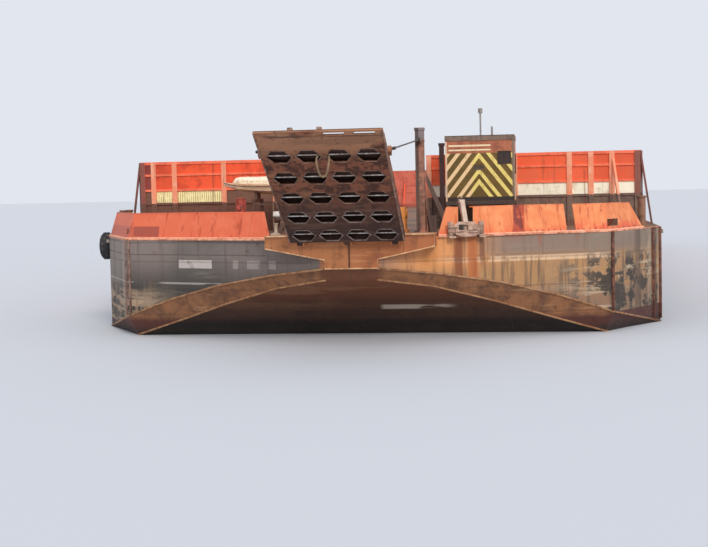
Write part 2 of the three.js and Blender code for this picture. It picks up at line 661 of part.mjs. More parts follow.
// Skiff: stowed athwartships on a rack, under a sheet
const SKIFF = { x: 28000, tip: -5500, tail: -1500 };
const skiffHull = () => {
  const section = (t, half, keel, gunwale) => {
    const y = SKIFF.tip + (SKIFF.tail - SKIFF.tip) * t;
    return [
      [SKIFF.x - half, y, gunwale],
      [SKIFF.x - half * 0.8, y, keel + (gunwale - keel) * 0.35],
      [SKIFF.x, y, keel],
      [SKIFF.x + half * 0.8, y, keel + (gunwale - keel) * 0.35],
      [SKIFF.x + half, y, gunwale],
    ];
  };
  return loft([
    section(0, 40, 5960, 6100),
    section(0.15, 400, 5760, 6010),
    section(0.4, 660, 5640, 5970),
    section(0.7, 700, 5610, 5950),
    section(1, 600, 5650, 5950),
  ]);
};
const skiffCover = () => {
  const rib = (t, half, low, high) => {
    const y = SKIFF.tip + (SKIFF.tail - SKIFF.tip) * t;
    return [
      [SKIFF.x - half, y, low],
      [SKIFF.x - half * 0.86, y, high - 70],
      [SKIFF.x, y, high],
      [SKIFF.x + half * 0.86, y, high - 70],
      [SKIFF.x + half, y, low],
    ];
  };
  return loft([
    rib(0.08, 170, 6052 + GAP, 6250),
    rib(0.15, 370, 6010 + GAP, 6290),
    rib(0.4, 630, 5970 + GAP, 6290),
    rib(0.7, 670, 5950 + GAP, 6280),
    rib(0.97, 590, 5950 + GAP, 6230),
  ]);
};
const skiffRack = () => {
  const frames = [-4300, -2200].flatMap((y) => [
    box(SKIFF.x - 750, SKIFF.x + 750, y - 60, y + 60, 5380, 5480),
    box(SKIFF.x - 740, SKIFF.x - 640, y - 50, y + 50, FLOOR, 5400),
    box(SKIFF.x + 640, SKIFF.x + 740, y - 50, y + 50, FLOOR, 5400),
    box(SKIFF.x - 300, SKIFF.x + 300, y - 50, y + 50, 5460, 5760),
  ]);
  const ties = [SKIFF.x - 690, SKIFF.x + 690].map((x) => box(x - 45, x + 45, -4300, -2200, 5260, 5340));
  return join([...frames, ...ties]).subtract(shifted(skiffHull(), 0, 0, -GAP));
};
add("skiff", skiffHull(), PAINT.steel);
add("skiff_cover", skiffCover(), PAINT.cream);
add("skiff_rack", skiffRack(), PAINT.galvanised);

// Deck pump: a red motor on a pedestal ahead of the rack
const deckPump = () =>
  join([
    box(29750, 30250, -4720, -4230, FLOOR, FLOOR + 80),
    box(29860, 30140, -4600, -4350, FLOOR + 60, 5150),
    pipe([30000, -4475, 5100], [30000, -4475, 5540], 155, 20),
    pipe([29820, -4475, 5220], [30230, -4475, 5220], 90, 16),
  ]);
add("deck_pump", deckPump(), PAINT.red);

// Guard rail along the foredeck, starboard of the ramp
const guardRail = () => {
  const posts = [29000, 30200, 31400].map((x) => pipe([x, 3050, FLOOR], [x, 3050, 5380], 28, 8));
  const bars = [4800, 5360].map((z) => pipe([28960, 3050, z], [31440, 3050, z], 26, 8));
  return join([...posts, ...bars]);
};
add("guard_rail_starboard", mirrored(guardRail(), -1), PAINT.galvanised);

// Bollards: a pair of posts on a base plate, along the deck edge
const bollardPair = (x, y, height, radius, reach) =>
  join([
    box(x - reach - 260, x + reach + 260, y - 175, y + 175, FLOOR, FLOOR + 50),
    ...[-reach, reach].flatMap((d) => [
      pipe([x + d, y, FLOOR + 30], [x + d, y, FLOOR + height], radius, 14),
    ]),
  ]);
const BOLLARDS = [
  // name, x, y, height, side
  ["bollard_bow_port", 28700, 9120, 1050, 1],
  ["bollard_bow_starboard", 27000, 9480, 900, -1],
  ["bollard_mid_port", 10200, 9545, 620, 1],
  ["bollard_mid_starboard", 10200, 9545, 620, -1],
  ["bollard_quarter_port", -12600, 9545, 620, 1],
  ["bollard_quarter_starboard", -12600, 9545, 620, -1],
  ["bollard_stern_port", -31500, 8600, 900, 1],
  ["bollard_stern_starboard", -31500, 8600, 900, -1],
];
BOLLARDS.forEach(([name, x, y, height, side]) =>
  add(name, mirrored(bollardPair(x, y, height, 115, 380), side), PAINT.rust),
);

// Fenders: a rubbing bar along each side, with lorry tyres hung against it
const RUBBING = { aft: -26900, fore: 28300, out: 110, z0: 4020, z1: 4150 };
const TYRE_PROFILE = [
  // radius, along the axle
  [290, -110],
  [420, -150],
  [490, -80],
  [490, 80],
  [420, 150],
  [290, 110],
  [290, -110],
];
const FENDER_FACE = HALF_BEAM + GAP;
const tyre = (x) => turned(TYRE_PROFILE, 14, [0, 1, 0], [x, FENDER_FACE + RUBBING.out + GAP + 150, 3890]);
SIDES.forEach(([word, side]) => {
  const { aft, fore, out, z0, z1 } = RUBBING;
  const length = box(aft, fore, FENDER_FACE, FENDER_FACE + out, z0, z1);
  add(`rubbing_bar_${word}`, mirrored(length, side), PAINT.steel);
});
const TYRES = [
  // name, x, side
  ["tyre_bow_starboard", 27780, -1],
  ["tyre_mid_starboard", 6900, -1],
  ["tyre_quarter_starboard", -13500, -1],
  ["tyre_mid_port", 6900, 1],
  ["tyre_quarter_port", -13500, 1],
];
TYRES.forEach(([name, x, side]) => add(name, mirrored(tyre(x), side), PAINT.rubber));

// Skegs: twin fins under the stern rake
const skeg = () => {
  const rise = (x) => ((-27500 - x) * 1750) / 6800;
  const fin = [
    [-27800, rise(-27800) - GAP],
    [-34250, rise(-34250) - GAP],
    [-34250, 420],
    [-31000, 60],
    [-28600, 60],
  ];
  return join([sidePrism(fin, 5400, 5560), box(-34250, -28600, 5330, 5630, 420, 500)]).subtract(
    shifted(hull, 0, 0, -GAP),
  );
};
SIDES.forEach(([word, side]) => add(`skeg_${word}`, mirrored(skeg(), side), PAINT.hull));

// Stern light: a lamp on a stayed post
const sternLight = () =>
  join([
    box(-34470, -34200, -150, 150, FLOOR, FLOOR + 40),
    pipe([-34350, 0, FLOOR], [-34350, 0, 7300], 55, 16),
    pipe([-34350, 0, 7180], [-34350, 0, 7480], 110, 16),
    bar([-34350, 0, 5600], [-33300, 0, FLOOR + 30], 60, 60),
    box(-33400, -33150, -100, 100, FLOOR, FLOOR + 40),
  ]);
add("stern_light", sternLight(), PAINT.galvanised);

// Boarding ladder: it stands off the starboard side, so that the transom stays clear for a push tug
const LADDER = { x0: -31200, x1: -30700, y: HALF_BEAM + 130 };
const sternLadder = () => {
  const { x0, x1, y } = LADDER;
  const rungs = [2500, 2850, 3200, 3550, 3900, 4250].map((z) => pipe([x0, y, z], [x1, y, z], 20, 6));
  const stiles = [x0, x1].map((x) => bar([x, y, 2350], [x, y, 4900], 30, 50));
  const arms = [x0, x1].flatMap((x) =>
    [2700, 3900].map((z) => box(x - 20, x + 20, HALF_BEAM + GAP, y + 20, z - 25, z + 25)),
  );
  return mirrored(join([...rungs, ...stiles, ...arms]), -1);
};
add("stern_ladder", sternLadder(), PAINT.galvanised);

// Stern bulwark: a low plate on knees across the stern
const sternBulwark = () => {
  const plate = box(STERN + 20, STERN + 70, -5200, 5200, FLOOR, 4900);
  const knees = [-4800, -2400, 0, 2400, 4800].map((y) =>
    sidePrism(
      [
        [STERN + 60, FLOOR],
        [STERN + 560, FLOOR],
        [STERN + 60, 4800],
      ],
      y - 25,
      y + 25,
    ),
  );
  return join([plate, box(STERN + 10, STERN + 160, -5200, 5200, 4860, 4920), ...knees]);
};
add("stern_bulwark", sternBulwark(), PAINT.orange);

// Manhole covers with their coamings and a grab bar
const MANHOLES = [
  ["manhole_fore_port", 26900, 7400],
  ["manhole_fore_starboard", 29000, -7000],
  ["manhole_aft_port", -29200, 4200],
  ["manhole_aft_starboard", -29200, -4200],
];
MANHOLES.forEach(([name, x, y]) =>
  add(
    name,
    join([
      pipe([x, y, FLOOR], [x, y, FLOOR + 90], 300, 16),
      pipe([x, y, FLOOR + 80], [x, y, FLOOR + 115], 380, 16),
    ]),
    PAINT.steel,
  ),
);

barge.scale.setScalar(MODEL_SCALE);
barge.updateMatrixWorld(true);

export default barge;
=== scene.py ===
import math
from types import SimpleNamespace

import bmesh
import bpy
from mathutils import Matrix, Vector, noise


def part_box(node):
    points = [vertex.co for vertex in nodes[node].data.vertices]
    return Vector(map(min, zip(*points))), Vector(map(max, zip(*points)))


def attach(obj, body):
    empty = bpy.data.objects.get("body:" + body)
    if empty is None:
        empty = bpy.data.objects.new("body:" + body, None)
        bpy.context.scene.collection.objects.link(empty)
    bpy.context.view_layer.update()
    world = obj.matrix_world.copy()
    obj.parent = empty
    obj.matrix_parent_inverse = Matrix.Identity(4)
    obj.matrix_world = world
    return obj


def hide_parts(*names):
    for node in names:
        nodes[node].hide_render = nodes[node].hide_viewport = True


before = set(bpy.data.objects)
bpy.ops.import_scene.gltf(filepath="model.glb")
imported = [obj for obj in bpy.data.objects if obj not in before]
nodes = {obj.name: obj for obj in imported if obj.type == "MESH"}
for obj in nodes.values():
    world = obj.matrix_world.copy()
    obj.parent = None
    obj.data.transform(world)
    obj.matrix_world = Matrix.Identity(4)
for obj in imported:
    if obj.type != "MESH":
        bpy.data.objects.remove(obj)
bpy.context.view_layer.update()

# Camera: off the port bow at eye height, with a moderate long lens, looking aft along the barge. The view
# is the one that the bow's deck edge, its lowest corners and the ramp's corners give together.
CAMERA_PLACE = (38.475, 3.075, 2.92)
CAMERA_TURN = 8.175  # degrees from straight aft, towards starboard
CAMERA_PITCH = -3.56
CAMERA_ROLL = 1.3
camera = bpy.data.objects.new("camera", bpy.data.cameras.new("camera"))
camera.data.sensor_width = 36
camera.data.lens = 70.91
camera.data.clip_end = 400
camera.matrix_world = (
    Matrix.Translation(CAMERA_PLACE)
    @ Matrix.Rotation(math.radians(90 + CAMERA_TURN), 4, "Z")
    @ Matrix.Rotation(math.radians(90 + CAMERA_PITCH), 4, "X")
    @ Matrix.Rotation(math.radians(-CAMERA_ROLL), 4, "Z")
)
bpy.context.scene.collection.objects.link(camera)
bpy.context.scene.camera = camera

# Ramp lashing: a short end of three-strand fibre rope, passed round the web between two of the ramp's holes
# and left hanging below them in a loop. The strands are laid round the line that the rope takes.
ROPE_THICK = 0.03
STRANDS = 3
STRAND_REACH = 0.27 * ROPE_THICK  # from the rope's middle to a strand's
STRAND_RADIUS = 0.235 * ROPE_THICK
LAY_LENGTH = 3.2 * ROPE_THICK  # one full turn of a strand
ROPE_ROUTE = (
    (19.6885, -0.0082, 3.383), (19.6885, -0.032, 3.383), (19.694, -0.056, 3.374), (19.706, -0.078, 3.356),
    (19.719, -0.094, 3.3275), (19.7255, -0.1, 3.2925), (19.7275, -0.098, 3.2475), (19.7275, -0.09, 3.2),
    (19.7275, -0.079, 3.155), (19.7275, -0.064, 3.1125), (19.7275, -0.042, 3.079), (19.7275, -0.012, 3.064),
    (19.7275, 0.018, 3.076), (19.7275, 0.039, 3.1075), (19.7275, 0.052, 3.15), (19.7275, 0.061, 3.1975),
    (19.7275, 0.068, 3.245), (19.7255, 0.073, 3.29), (19.719, 0.073, 3.325), (19.706, 0.065, 3.355),
    (19.694, 0.049, 3.374), (19.6885, 0.029, 3.383), (19.6885, 0.0082, 3.383),
)


def linear(text):
    """An sRGB colour written as #rrggbb, as linear red, green, blue and alpha."""
    parts = [int(text[i : i + 2], 16) / 255 for i in (1, 3, 5)]
    return [c / 12.92 if c <= 0.04045 else ((c + 0.055) / 1.055) ** 2.4 for c in parts] + [1]


def node(tree, kind, inputs=None, out=0, **settings):
    """Adds a node with its settings, and its inputs as values or links, and gives back one of its outputs."""
    made = tree.nodes.new(kind if "Node" in kind else "ShaderNode" + kind)
    for name, value in settings.items():
        setattr(made, name, value)
    for key, value in (inputs or {}).items():
        if isinstance(value, bpy.types.NodeSocket):
            tree.links.new(value, made.inputs[key])
        else:
            made.inputs[key].default_value = value
    return made.outputs[out]


def reading(work, value):
    """A value that every finish reads, given by its name, or else the link itself."""
    return getattr(work, value) if isinstance(value, str) else value


def lay(work, below, *coats):
    """Lays coats on a colour: each a colour, a strength and limits, a value with its start and full ends."""
    colour = linear(below) if isinstance(below, str) else below
    for over, mask, *limits in coats:
        for value, start, full in limits:
            inputs = {"Value": reading(work, value), "From Min": start, "From Max": full}
            step = node(work.tree, "MapRange", inputs, interpolation_type="SMOOTHSTEP")
            mask = node(work.tree, "Math", {0: step, 1: mask}, operation="MULTIPLY")
        over = linear(over) if isinstance(over, str) else over
        colour = node(work.tree, "Mix", {0: mask, 6: colour, 7: over}, 2, data_type="RGBA")
    return colour


def start_finish(name, patch):
    """A bare material with what every finish reads: place, facing, and weather in patches of a size in mm."""
    per = 1000 / patch
    material = bpy.data.materials.new(name)
    material.use_nodes = True
    tree = material.node_tree
    tree.nodes.clear()
    place = node(tree, "TexCoord", out=3)
    parts, facing = (tree.nodes.new("ShaderNodeSeparateXYZ") for _ in range(2))
    tree.links.new(place, parts.inputs[0])
    tree.links.new(node(tree, "TexCoord", out=1), facing.inputs[0])
    tall = node(tree, "Mapping", {"Vector": place, "Scale": (3 * per, 3 * per, per / 5.5)})
    wide = node(tree, "Mapping", {"Vector": place, "Scale": (per / 4.3, per / 4.3, 2.3 * per)})
    work = SimpleNamespace(material=material, tree=tree, place=place)
    work.x, work.y, work.z = parts.outputs
    work.ahead, _, work.up = facing.outputs
    for label, way, scale, detail, rough in (
        ("broad", place, per / 5, 4.0, 0.5),
        ("blotch", place, per, 9.0, 0.68),
        ("runs", tall, 1.0, 6.0, 0.62),
        ("scuffs", wide, 1.0, 7.0, 0.6),
    ):
        inputs = {"Vector": way, "Scale": scale, "Detail": detail, "Roughness": rough}
        setattr(work, label, node(tree, "TexNoise", inputs))
    work.outward = node(tree, "Math", {0: work.y}, operation="ABSOLUTE")
    return work


def end_finish(work, colour, smooth, rough, deep, relief="blotch", metallic=0.0, worn=None, edge=0.006):
    """Ends a material: roughness by the blotches, a relief in metres, and softened, perhaps worn, edges."""
    tree = work.tree
    shade = node(tree, "MapRange", {"Value": work.blotch, "To Min": smooth, "To Max": rough})
    rounded = node(tree, "Bevel", {"Radius": edge}, samples=4)
    if worn:
        flat = node(tree, "NewGeometry", out=1)
        turn = node(tree, "VectorMath", {0: rounded, 1: flat}, 1, operation="DOT_PRODUCT")
        colour = lay(work, colour, (worn, 0.75, (turn, 0.995, 0.93), ("blotch", 0.35, 0.5)))
    normal = node(tree, "Bump", {"Height": reading(work, relief), "Distance": deep, "Normal": rounded})
    inputs = {"Base Color": colour, "Roughness": shade, "Normal": normal, "Metallic": metallic}
    shader = node(tree, "BsdfPrincipled", inputs)
    tree.links.new(shader, tree.nodes.new("ShaderNodeOutputMaterial").inputs["Surface"])
    return work.material


def finish(name, patch, below, coats, *ends, **more):
    """A whole material that needs no values of its own: its name, patch size, colour, coats and ends."""
    work = start_finish(name, patch)
    return end_finish(work, lay(work, below, *coats), *ends, **more)


def sweep(mesh, path, section, up=(0, 0, 1), closed=False):
    """Carries a closed section along a line of points, as one bar with closed ends or as a ring."""
    last = len(path) - 1
    rings = []
    for i, point in enumerate(path):
        before = path[i - 1] if i or closed else path[0]
        after = path[(i + 1) % len(path)] if i < last or closed else path[last]
        ahead = (Vector(after) - Vector(before)).normalized()
        side = ahead.cross(Vector(up)).normalized()
        top = side.cross(ahead)
        rings.append([mesh.verts.new(Vector(point) + side * a + top * b) for a, b in section])
    pairs = list(zip(rings, rings[1:])) + ([(rings[-1], rings[0])] if closed else [])
    for low, high in pairs:
        for k in range(len(section)):
            mesh.faces.new((low[k], low[k - 1], high[k - 1], high[k]))
    if not closed:
        mesh.faces.new(rings[0])
        mesh.faces.new(rings[-1][::-1])


def around(radius, count, k):
    """The kth of so many points round a circle, as two coordinates."""
    angle = 2 * math.pi * k / count
    return radius * math.cos(angle), radius * math.sin(angle)


def round_section(radius, sides=10):
    """A round outline for sweep."""
    return [around(radius, sides, k) for k in range(sides)]


def ride_on(name, data, body):
    """Makes a mesh a finished object with its material slot, riding on a body."""
    made = bpy.data.objects.new(name, data)
    bpy.context.scene.collection.objects.link(made)
    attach(made, body)
    return made


def piece(name, mesh, material, body="barge", soft=False, bevel=0.0):
    """Makes a bmesh a finished piece, with its faces out and, if asked, bevelled or smooth."""
    bmesh.ops.recalc_face_normals(mesh, faces=mesh.faces[:])
    data = bpy.data.meshes.new(name)
    for face in mesh.faces:
        face.smooth = soft
    mesh.to_mesh(data)
    mesh.free()
    data.materials.append(material)
    made = ride_on(name, data, body)
    if bevel:
        edge = made.modifiers.new("edge", "BEVEL")
        edge.width = bevel
        edge.segments = 2
        edge.limit_method = "ANGLE"
    return made


def smooth_line(points, steps):
    """Points close together on one smooth curve through those given."""
    fine = []
    for i in range(len(points) - 1):
        a, b, c, d = (Vector(points[min(max(i + k, 0), len(points) - 1)]) for k in (-1, 0, 1, 2))
        for t in (s / steps for s in range(steps)):
            bend = (2 * a - 5 * b + 4 * c - d) * t * t + (3 * b - a - 3 * c + d) * t**3
            fine.append(0.5 * (2 * b + (c - a) * t + bend))
    return fine + [Vector(points[-1])]


# Weathered manila: dull straw fibres, with dirt down in the lay
manila = finish(
    "laid_manila_rope", 28, "#a58a6c",
    (("#7d6850", 1.0, ("broad", 0.35, 0.65)), ("#6b563d", 0.7, ("blotch", 0.52, 0.66))),
    0.85, 0.98, 0.004,
)
rope_line = smooth_line(ROPE_ROUTE, 6)
rope_mesh = bmesh.new()
for strand in range(STRANDS):
    helix = []
    travelled = 0.0
    for i, point in enumerate(rope_line):
        ahead = (rope_line[min(i + 1, len(rope_line) - 1)] - rope_line[max(i - 1, 0)]).normalized()
        travelled += (point - rope_line[i - 1]).length if i else 0.0
        turn = 2 * math.pi * (travelled / LAY_LENGTH + strand / STRANDS)
        side = ahead.cross(Vector((1, 0, 0))).normalized()
        helix.append(point + STRAND_REACH * (side * math.cos(turn) + side.cross(ahead) * math.sin(turn)))
    sweep(rope_mesh, helix, round_section(STRAND_RADIUS, 8), up=(1, 0, 0))
rope = piece("lashing_rope", rope_mesh, manila, "ramp", soft=True)
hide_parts("ramp_lashing")

# Hull: shipbuilding plate, welded in strakes and painted dark grey over red lead. The starboard bow kept
# its grey, the port bow has chalked to brown, and rust runs below whatever hangs over the edge. The packed
# solid stays, painted by height above the keel and distance from the centreline.
WATERLINE = 0.5
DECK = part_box("hull")[1].z
HALF_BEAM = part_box("hull")[1].y
PLATE = (3.0, 0.44)  # length and width of a hull plate
DECK_PLATE_WIDTH = 1.2
WELD = 0.009  # half the width of a weld bead
DENT = 714  # mm between the dents in the plates
BOW = ("x", 11.5, 14.2)
FORE_FACES = ("x", 13.4, 14.2)
PORT_BOW = (("y", 0.0, 1.2), BOW)
STARBOARD_BOW = (("y", 0.3, -0.3), BOW)


def within(value, low, high, soft):
    """Two limits that keep a coat between two values, with its edges fading outside them."""
    return (value, low - soft, low), (value, high + soft, high)


# Chalked marine paint on rolled plate, by strakes, with rust runs and scuffs, and painted shade towards the
# water
work = start_finish("hull_marine_paint", 330)
tree = work.tree
ragged_height = node(tree, "Math", {0: work.blotch, 1: 0.3, 2: work.z}, operation="MULTIPLY_ADD")
grey = lay(
    work, "#83746d",
    ("#69605a", 1.0, ("broad", 0.35, 0.65)),
    # painted shade: the grey darkens downwards, towards the dark water
    ("#33302c", 0.95, ("z", 1.92, 1.2)),
    ("#a3968c", 0.45, ("x", 15.9, 15.8), ("z", 1.1, 1.5), BOW),
    ("#b89c80", 0.85, ("y", -2.9, -3.9), (ragged_height, 1.62, 1.2), ("scuffs", 0.44, 0.54), FORE_FACES),
    ("#8f7860", 0.8, ("y", -3.2, -3.9), (ragged_height, 1.7, 1.3), ("runs", 0.5, 0.44), FORE_FACES),
)
brown = lay(
    work, "#8a7364",
    ("#ac8055", 1.0, ("z", 1.9, 1.74)),
    ("#8a6850", 1.0, ("z", 1.45, 1.0)),
    ("#5d4a3c", 0.5, ("runs", 0.5, 0.6), ("z", 1.74, 1.68)),
    ("#857666", 0.7, ("y", 2.6, 3.8), ("blotch", 0.42, 0.56)),
    ("#e29759", 0.85, ("y", 2.5, 1.4), ("z", 1.5, 1.75)),
)
colour = lay(
    work, grey,
    (brown, 1.0, *PORT_BOW),
    ("#4a3b33", 0.5, ("runs", 0.52, 0.72)),
    ("#a4958a", 0.4, ("scuffs", 0.56, 0.75)),
    ("#7d4c2f", 0.8, ("runs", 0.44, 0.3), ("blotch", 0.42, 0.6), ("z", 1.9, 0.9)),
    ("#5b3c2b", 0.8, ("blotch", 0.64, 0.72)),
    ("#a96a42", 0.95, ("y", -0.5, -0.42), ("y", 0.5, 0.42), ("x", 17.0, 17.2)),
)
# Chalk line along the port bow, worn to a broken pale band with a darker line above it
for low, high, pale, strength in ((1.712, 1.79, "#dcb794", 0.85), (1.79, 1.83, "#7c6555", 0.5)):
    line = (*within("z", low, high, 0.012), *PORT_BOW, ("y", 1.1, 1.6), ("y", 4.2, 3.8))
    colour = lay(work, colour, (pale, strength, *line, ("blotch", 0.62, 0.5), ("runs", 0.66, 0.5)))
# Peeling coat low on the port shoulder: black primer and pale chalk side by side
corner = (("y", 2.9, 3.9), ("x", 11.5, 14.0), ("z", 1.85, 1.6))
colour = lay(
    work, colour,
    ("#332d29", 0.88, *corner, ("blotch", 0.49, 0.53)),
    ("#b8a389", 0.8, *corner, ("scuffs", 0.56, 0.63)),
)
# Upright bands beside the port corner: a pale one where a fender has hung, a dark band of painted shade where
# a slot would lie, and a pale edge
for low, high, band in ((4.64, 4.69, "#a8937c"), (4.71, 4.8, "#352c27"), (4.83, 4.9, "#a08a72")):
    edges = (*within("y", low, high, 0.012), ("x", 13.9, 14.0), ("blotch", 0.66, 0.5))
    colour = lay(work, colour, (band, 0.7, *edges, ("runs", 0.62, 0.48)))
scrape = (("z", 1.41, 1.42), ("z", 1.465, 1.455), ("y", 3.92, 3.96), ("y", 4.2, 4.16))
colour = lay(work, colour, ("#3a3734", 0.9, *scrape))

# Strake seams that catch the light on the starboard bow, and blank pale panels between them
for middle, half, tone in ((2.072, 0.006, "#5d5450"), (1.875, 0.006, "#554d4a"), (1.41, 0.012, "#a39a91")):
    seam = within("z", middle - half, middle + half, 0.008)
    colour = lay(work, colour, (tone, 0.8, *seam, *STARBOARD_BOW, ("scuffs", 0.4, 0.5)))
for low, high in ((-2.98, -2.37), (-1.975, -1.885), (-1.72, -1.5), (-1.34, -1.22)):
    panel = (("z", 1.655, 1.663), ("z", 1.797, 1.789), *within("y", low, high, 0.01))
    colour = lay(work, colour, ("#c4b9b1", 0.85 if high < -2 else 0.3, *panel, BOW, ("blotch", 0.68, 0.52)))

# Rust runs under the anchor, the stained plate and the guides at the shoulders
RUNS_BELOW = (
    # centre y, half width, foot z, colour, strength
    (1.62, 0.06, 1.25, "#7a3f22", 0.85),
    (1.84, 0.07, 1.2, "#b06030", 0.85),
    (1.98, 0.03, 1.5, "#6a3a24", 0.7),
    (2.5, 0.12, 1.95, "#9a4a30", 0.7),
    (2.86, 0.02, 1.8, "#a0492c", 0.6),
    (3.45, 0.04, 1.9, "#8a4a30", 0.6),
    (1.2, 0.1, 1.5, "#c07c42", 0.8),
    (-1.32, 0.03, 1.9, "#8a4a2c", 0.6),
    (-4.2, 0.03, 0.8, "#b59a80", 0.5),
    (-4.62, 0.04, 0.8, "#6d5b4c", 0.6),
    (4.45, 0.05, 0.7, "#5d4a3c", 0.6),
)
for centre, half, foot, stain, strength in RUNS_BELOW:
    wobble = node(tree, "Math", {0: work.runs, 1: 0.08, 2: centre - 0.04}, operation="MULTIPLY_ADD")
    away = node(tree, "Math", {0: work.y, 1: wobble}, operation="SUBTRACT")
    sides = ((away, -1.7 * half, -0.5 * half), (away, 1.7 * half, 0.5 * half))
    colour = lay(work, colour, (stain, strength, *sides, ("z", foot, foot + 0.35), ("x", 13.0, 14.0)))

# Chamfer and rake under the knuckle: old rust with one long pale scrape. The chamfer is darker towards its
# bottom, and the rake's underside is painted shade, darker towards the keel and near black by the water.
chamfer = lay(
    work, "#93623f",
    ("#684530", 1.0, ("blotch", 0.42, 0.66)),
    ("#4a3024", 0.7, ("runs", 0.57, 0.7)),
    ("#b08562", 0.6, ("scuffs", 0.56, 0.66)),
    ("#4f2622", 0.9, ("z", 0.86, 0.74)),
    ("#70422a", 0.9, ("y", -0.55, -0.4), ("y", 0.55, 0.4)),
)
pale_scrape = (
    ("z", 0.945, 0.965), ("z", 1.045, 1.02), ("y", 0.3, 0.4), ("y", 1.6, 1.3), ("scuffs", 0.43, 0.5),
)
rake = lay(
    work, "#7d4625",
    # painted shade: the rake's underside darkens towards the keel and the water
    ("#331c12", 1.0, ("z", 1.5, 0.85)),
    ("#0f0a09", 0.85, (ragged_height, 0.95, 0.85)),
    ("#8a5f42", 0.6, ("scuffs", 0.52, 0.6), ("z", 0.9, 1.3)),
    ("#bdb0a0", 0.9, *pale_scrape),
)
# Boot-top: red anti-fouling below a level line, aft of the shoulders and lower to starboard. Painted shade
# darkens the plate just above the waterline, and the deck on top is walked bare.
wave = node(tree, "Math", {0: work.blotch, 1: 0.08, 2: work.z}, operation="MULTIPLY_ADD")
deck = lay(work, "#75604f", ("#8d5c3e", 1.0, ("blotch", 0.4, 0.6)), ("#55463c", 0.7, ("broad", 0.45, 0.6)))
colour = lay(
    work, colour,
    (chamfer, 1.0, ("up", -0.2, -0.35)),
    (rake, 1.0, ("up", -0.74, -0.82)),
    ("#4f2a25", 0.95, (wave, 0.87, 0.85), ("y", 3.9, 4.05), ("x", 15.95, 15.85)),
    ("#4f2a25", 0.95, (wave, 0.72, 0.7), ("y", -3.9, -4.05)),
    # painted shade: near black just above the waterline
    ("#2b211c", 0.85, (ragged_height, 0.86, 0.68)),
    (deck, 1.0, ("up", 0.9, 0.98)),
)
# Plate seams: a weld bead round each plate, on the sides by height and on deck and bottom across the beam
along = node(tree, "Math", {0: work.outward, 1: work.x}, operation="SUBTRACT")
side_plan = node(tree, "CombineXYZ", {0: along, 1: work.z})
deck_plan = node(tree, "CombineXYZ", {0: work.x, 1: work.y})
beads = []
for plan, width in ((side_plan, PLATE[1]), (deck_plan, DECK_PLATE_WIDTH)):
    inputs = {"Vector": plan, "Scale": 1.0, "Mortar Size": WELD, "Brick Width": PLATE[0], "Row Height": width}
    beads.append(node(tree, "TexBrick", inputs, 1))
flat = node(tree, "Math", {0: work.up}, operation="ABSOLUTE")
level = node(tree, "MapRange", {"Value": flat, "From Min": 0.6, "From Max": 0.7})
bead = node(tree, "Mix", {0: level, 2: beads[0], 3: beads[1]})
colour = lay(work, colour, ("#4d3f38", 0.22, (bead, 0.0, 1.0)))
dents = node(tree, "TexNoise", {"Vector": work.place, "Scale": 1000 / DENT, "Detail": 2.0})
height = node(tree, "Math", {0: dents, 1: 2.0, 2: work.blotch}, operation="MULTIPLY_ADD")
height = node(tree, "Math", {0: bead, 1: 0.5, 2: height}, operation="MULTIPLY_ADD")
marine_paint = end_finish(work, colour, 0.55, 0.92, 0.02, height, edge=0.012)


def wear(material, *names):
    """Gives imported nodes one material."""
    for name in names:
        mesh = nodes[name].data
        mesh.materials.clear()
        mesh.materials.append(material)


wear(marine_paint, "hull", "skeg_port", "skeg_starboard", "rubbing_bar_port", "rubbing_bar_starboard")

# Knuckle bars and shoulder guides: solid half-round bar and split pipe, welded along the bow's two
# knuckles, down the shoulders and along the deck edge, to take rubbing. The wear shows bright rust on their
# crowns.
UPPER_KNUCKLE = (
    (17.525, 0.41, 1.675), (17.116, 1.325, 1.56), (16.7025, 2.25, 1.39),
    (16.3, 3.15, 1.145), (15.92, 4.0, 0.84), (14.135, 4.875, 0.51),
)
LOWER_KNUCKLE = (
    (17.35, 0.395, 1.495), (16.95, 1.25, 1.35), (16.53, 2.165, 1.08),
    (16.125, 3.055, 0.78), (15.75, 3.89, 0.51), (14.0, 4.65, 0.165),
)
DECK_CORNERS = ((17.16, 1.33), (15.92, 4.0), (14.135, 4.875))
GUIDES = {
    # x, y, radius
    1: ((15.93, 4.01, 0.026), (14.42, 4.74, 0.03), (14.16, 4.872, 0.03)),
    -1: ((15.95, 3.955, 0.018), (15.865, 4.035, 0.02)),
}


def bar_rust(name, paint, rust):
    """A rubbed steel bar: paint left in the corners, and rust bright where it is rubbed."""
    coats = ((rust, 1.0, ("blotch", 0.4, 0.6)), ("#4b3226", 0.6, ("runs", 0.55, 0.7)))
    return finish(name, 110, paint, coats, 0.6, 0.9, 0.006)


knuckle_mesh, deck_edge_mesh = bmesh.new(), bmesh.new()
guide_mesh = {1: bmesh.new(), -1: bmesh.new()}
for side in (1, -1):
    for line in (UPPER_KNUCKLE, LOWER_KNUCKLE):
        sweep(knuckle_mesh, [(x, y * side, z) for x, y, z in line], round_section(0.017))
    sweep(deck_edge_mesh, [(x, y * side, DECK - 0.012) for x, y in DECK_CORNERS], round_section(0.014))
    for x, y, reach in GUIDES[side]:
        foot = 0.86 if x > 15 else 0.56
        path = [(x, y * side, z) for z in (foot, 1.2, 1.6, DECK - 0.01)]
        sweep(guide_mesh[side], path, round_section(reach), up=(0, 1, 0))
for name, mesh, *paints in (
    ("knuckle_bars", knuckle_mesh, "rubbed_bar_rust", "#a87e5a", "#8a5c3c"),
    ("deck_edge_bars", deck_edge_mesh, "deck_edge_coat", "#f2ab8a", "#c07a5c"),
    ("shoulder_guides_port", guide_mesh[1], "port_guide_paint", "#7c4c3a", "#4f2c20"),
    ("shoulder_guide_starboard", guide_mesh[-1], "starboard_guide_paint", "#8f7264", "#674840"),
):
    piece(name, mesh, bar_rust(*paints), soft=True)
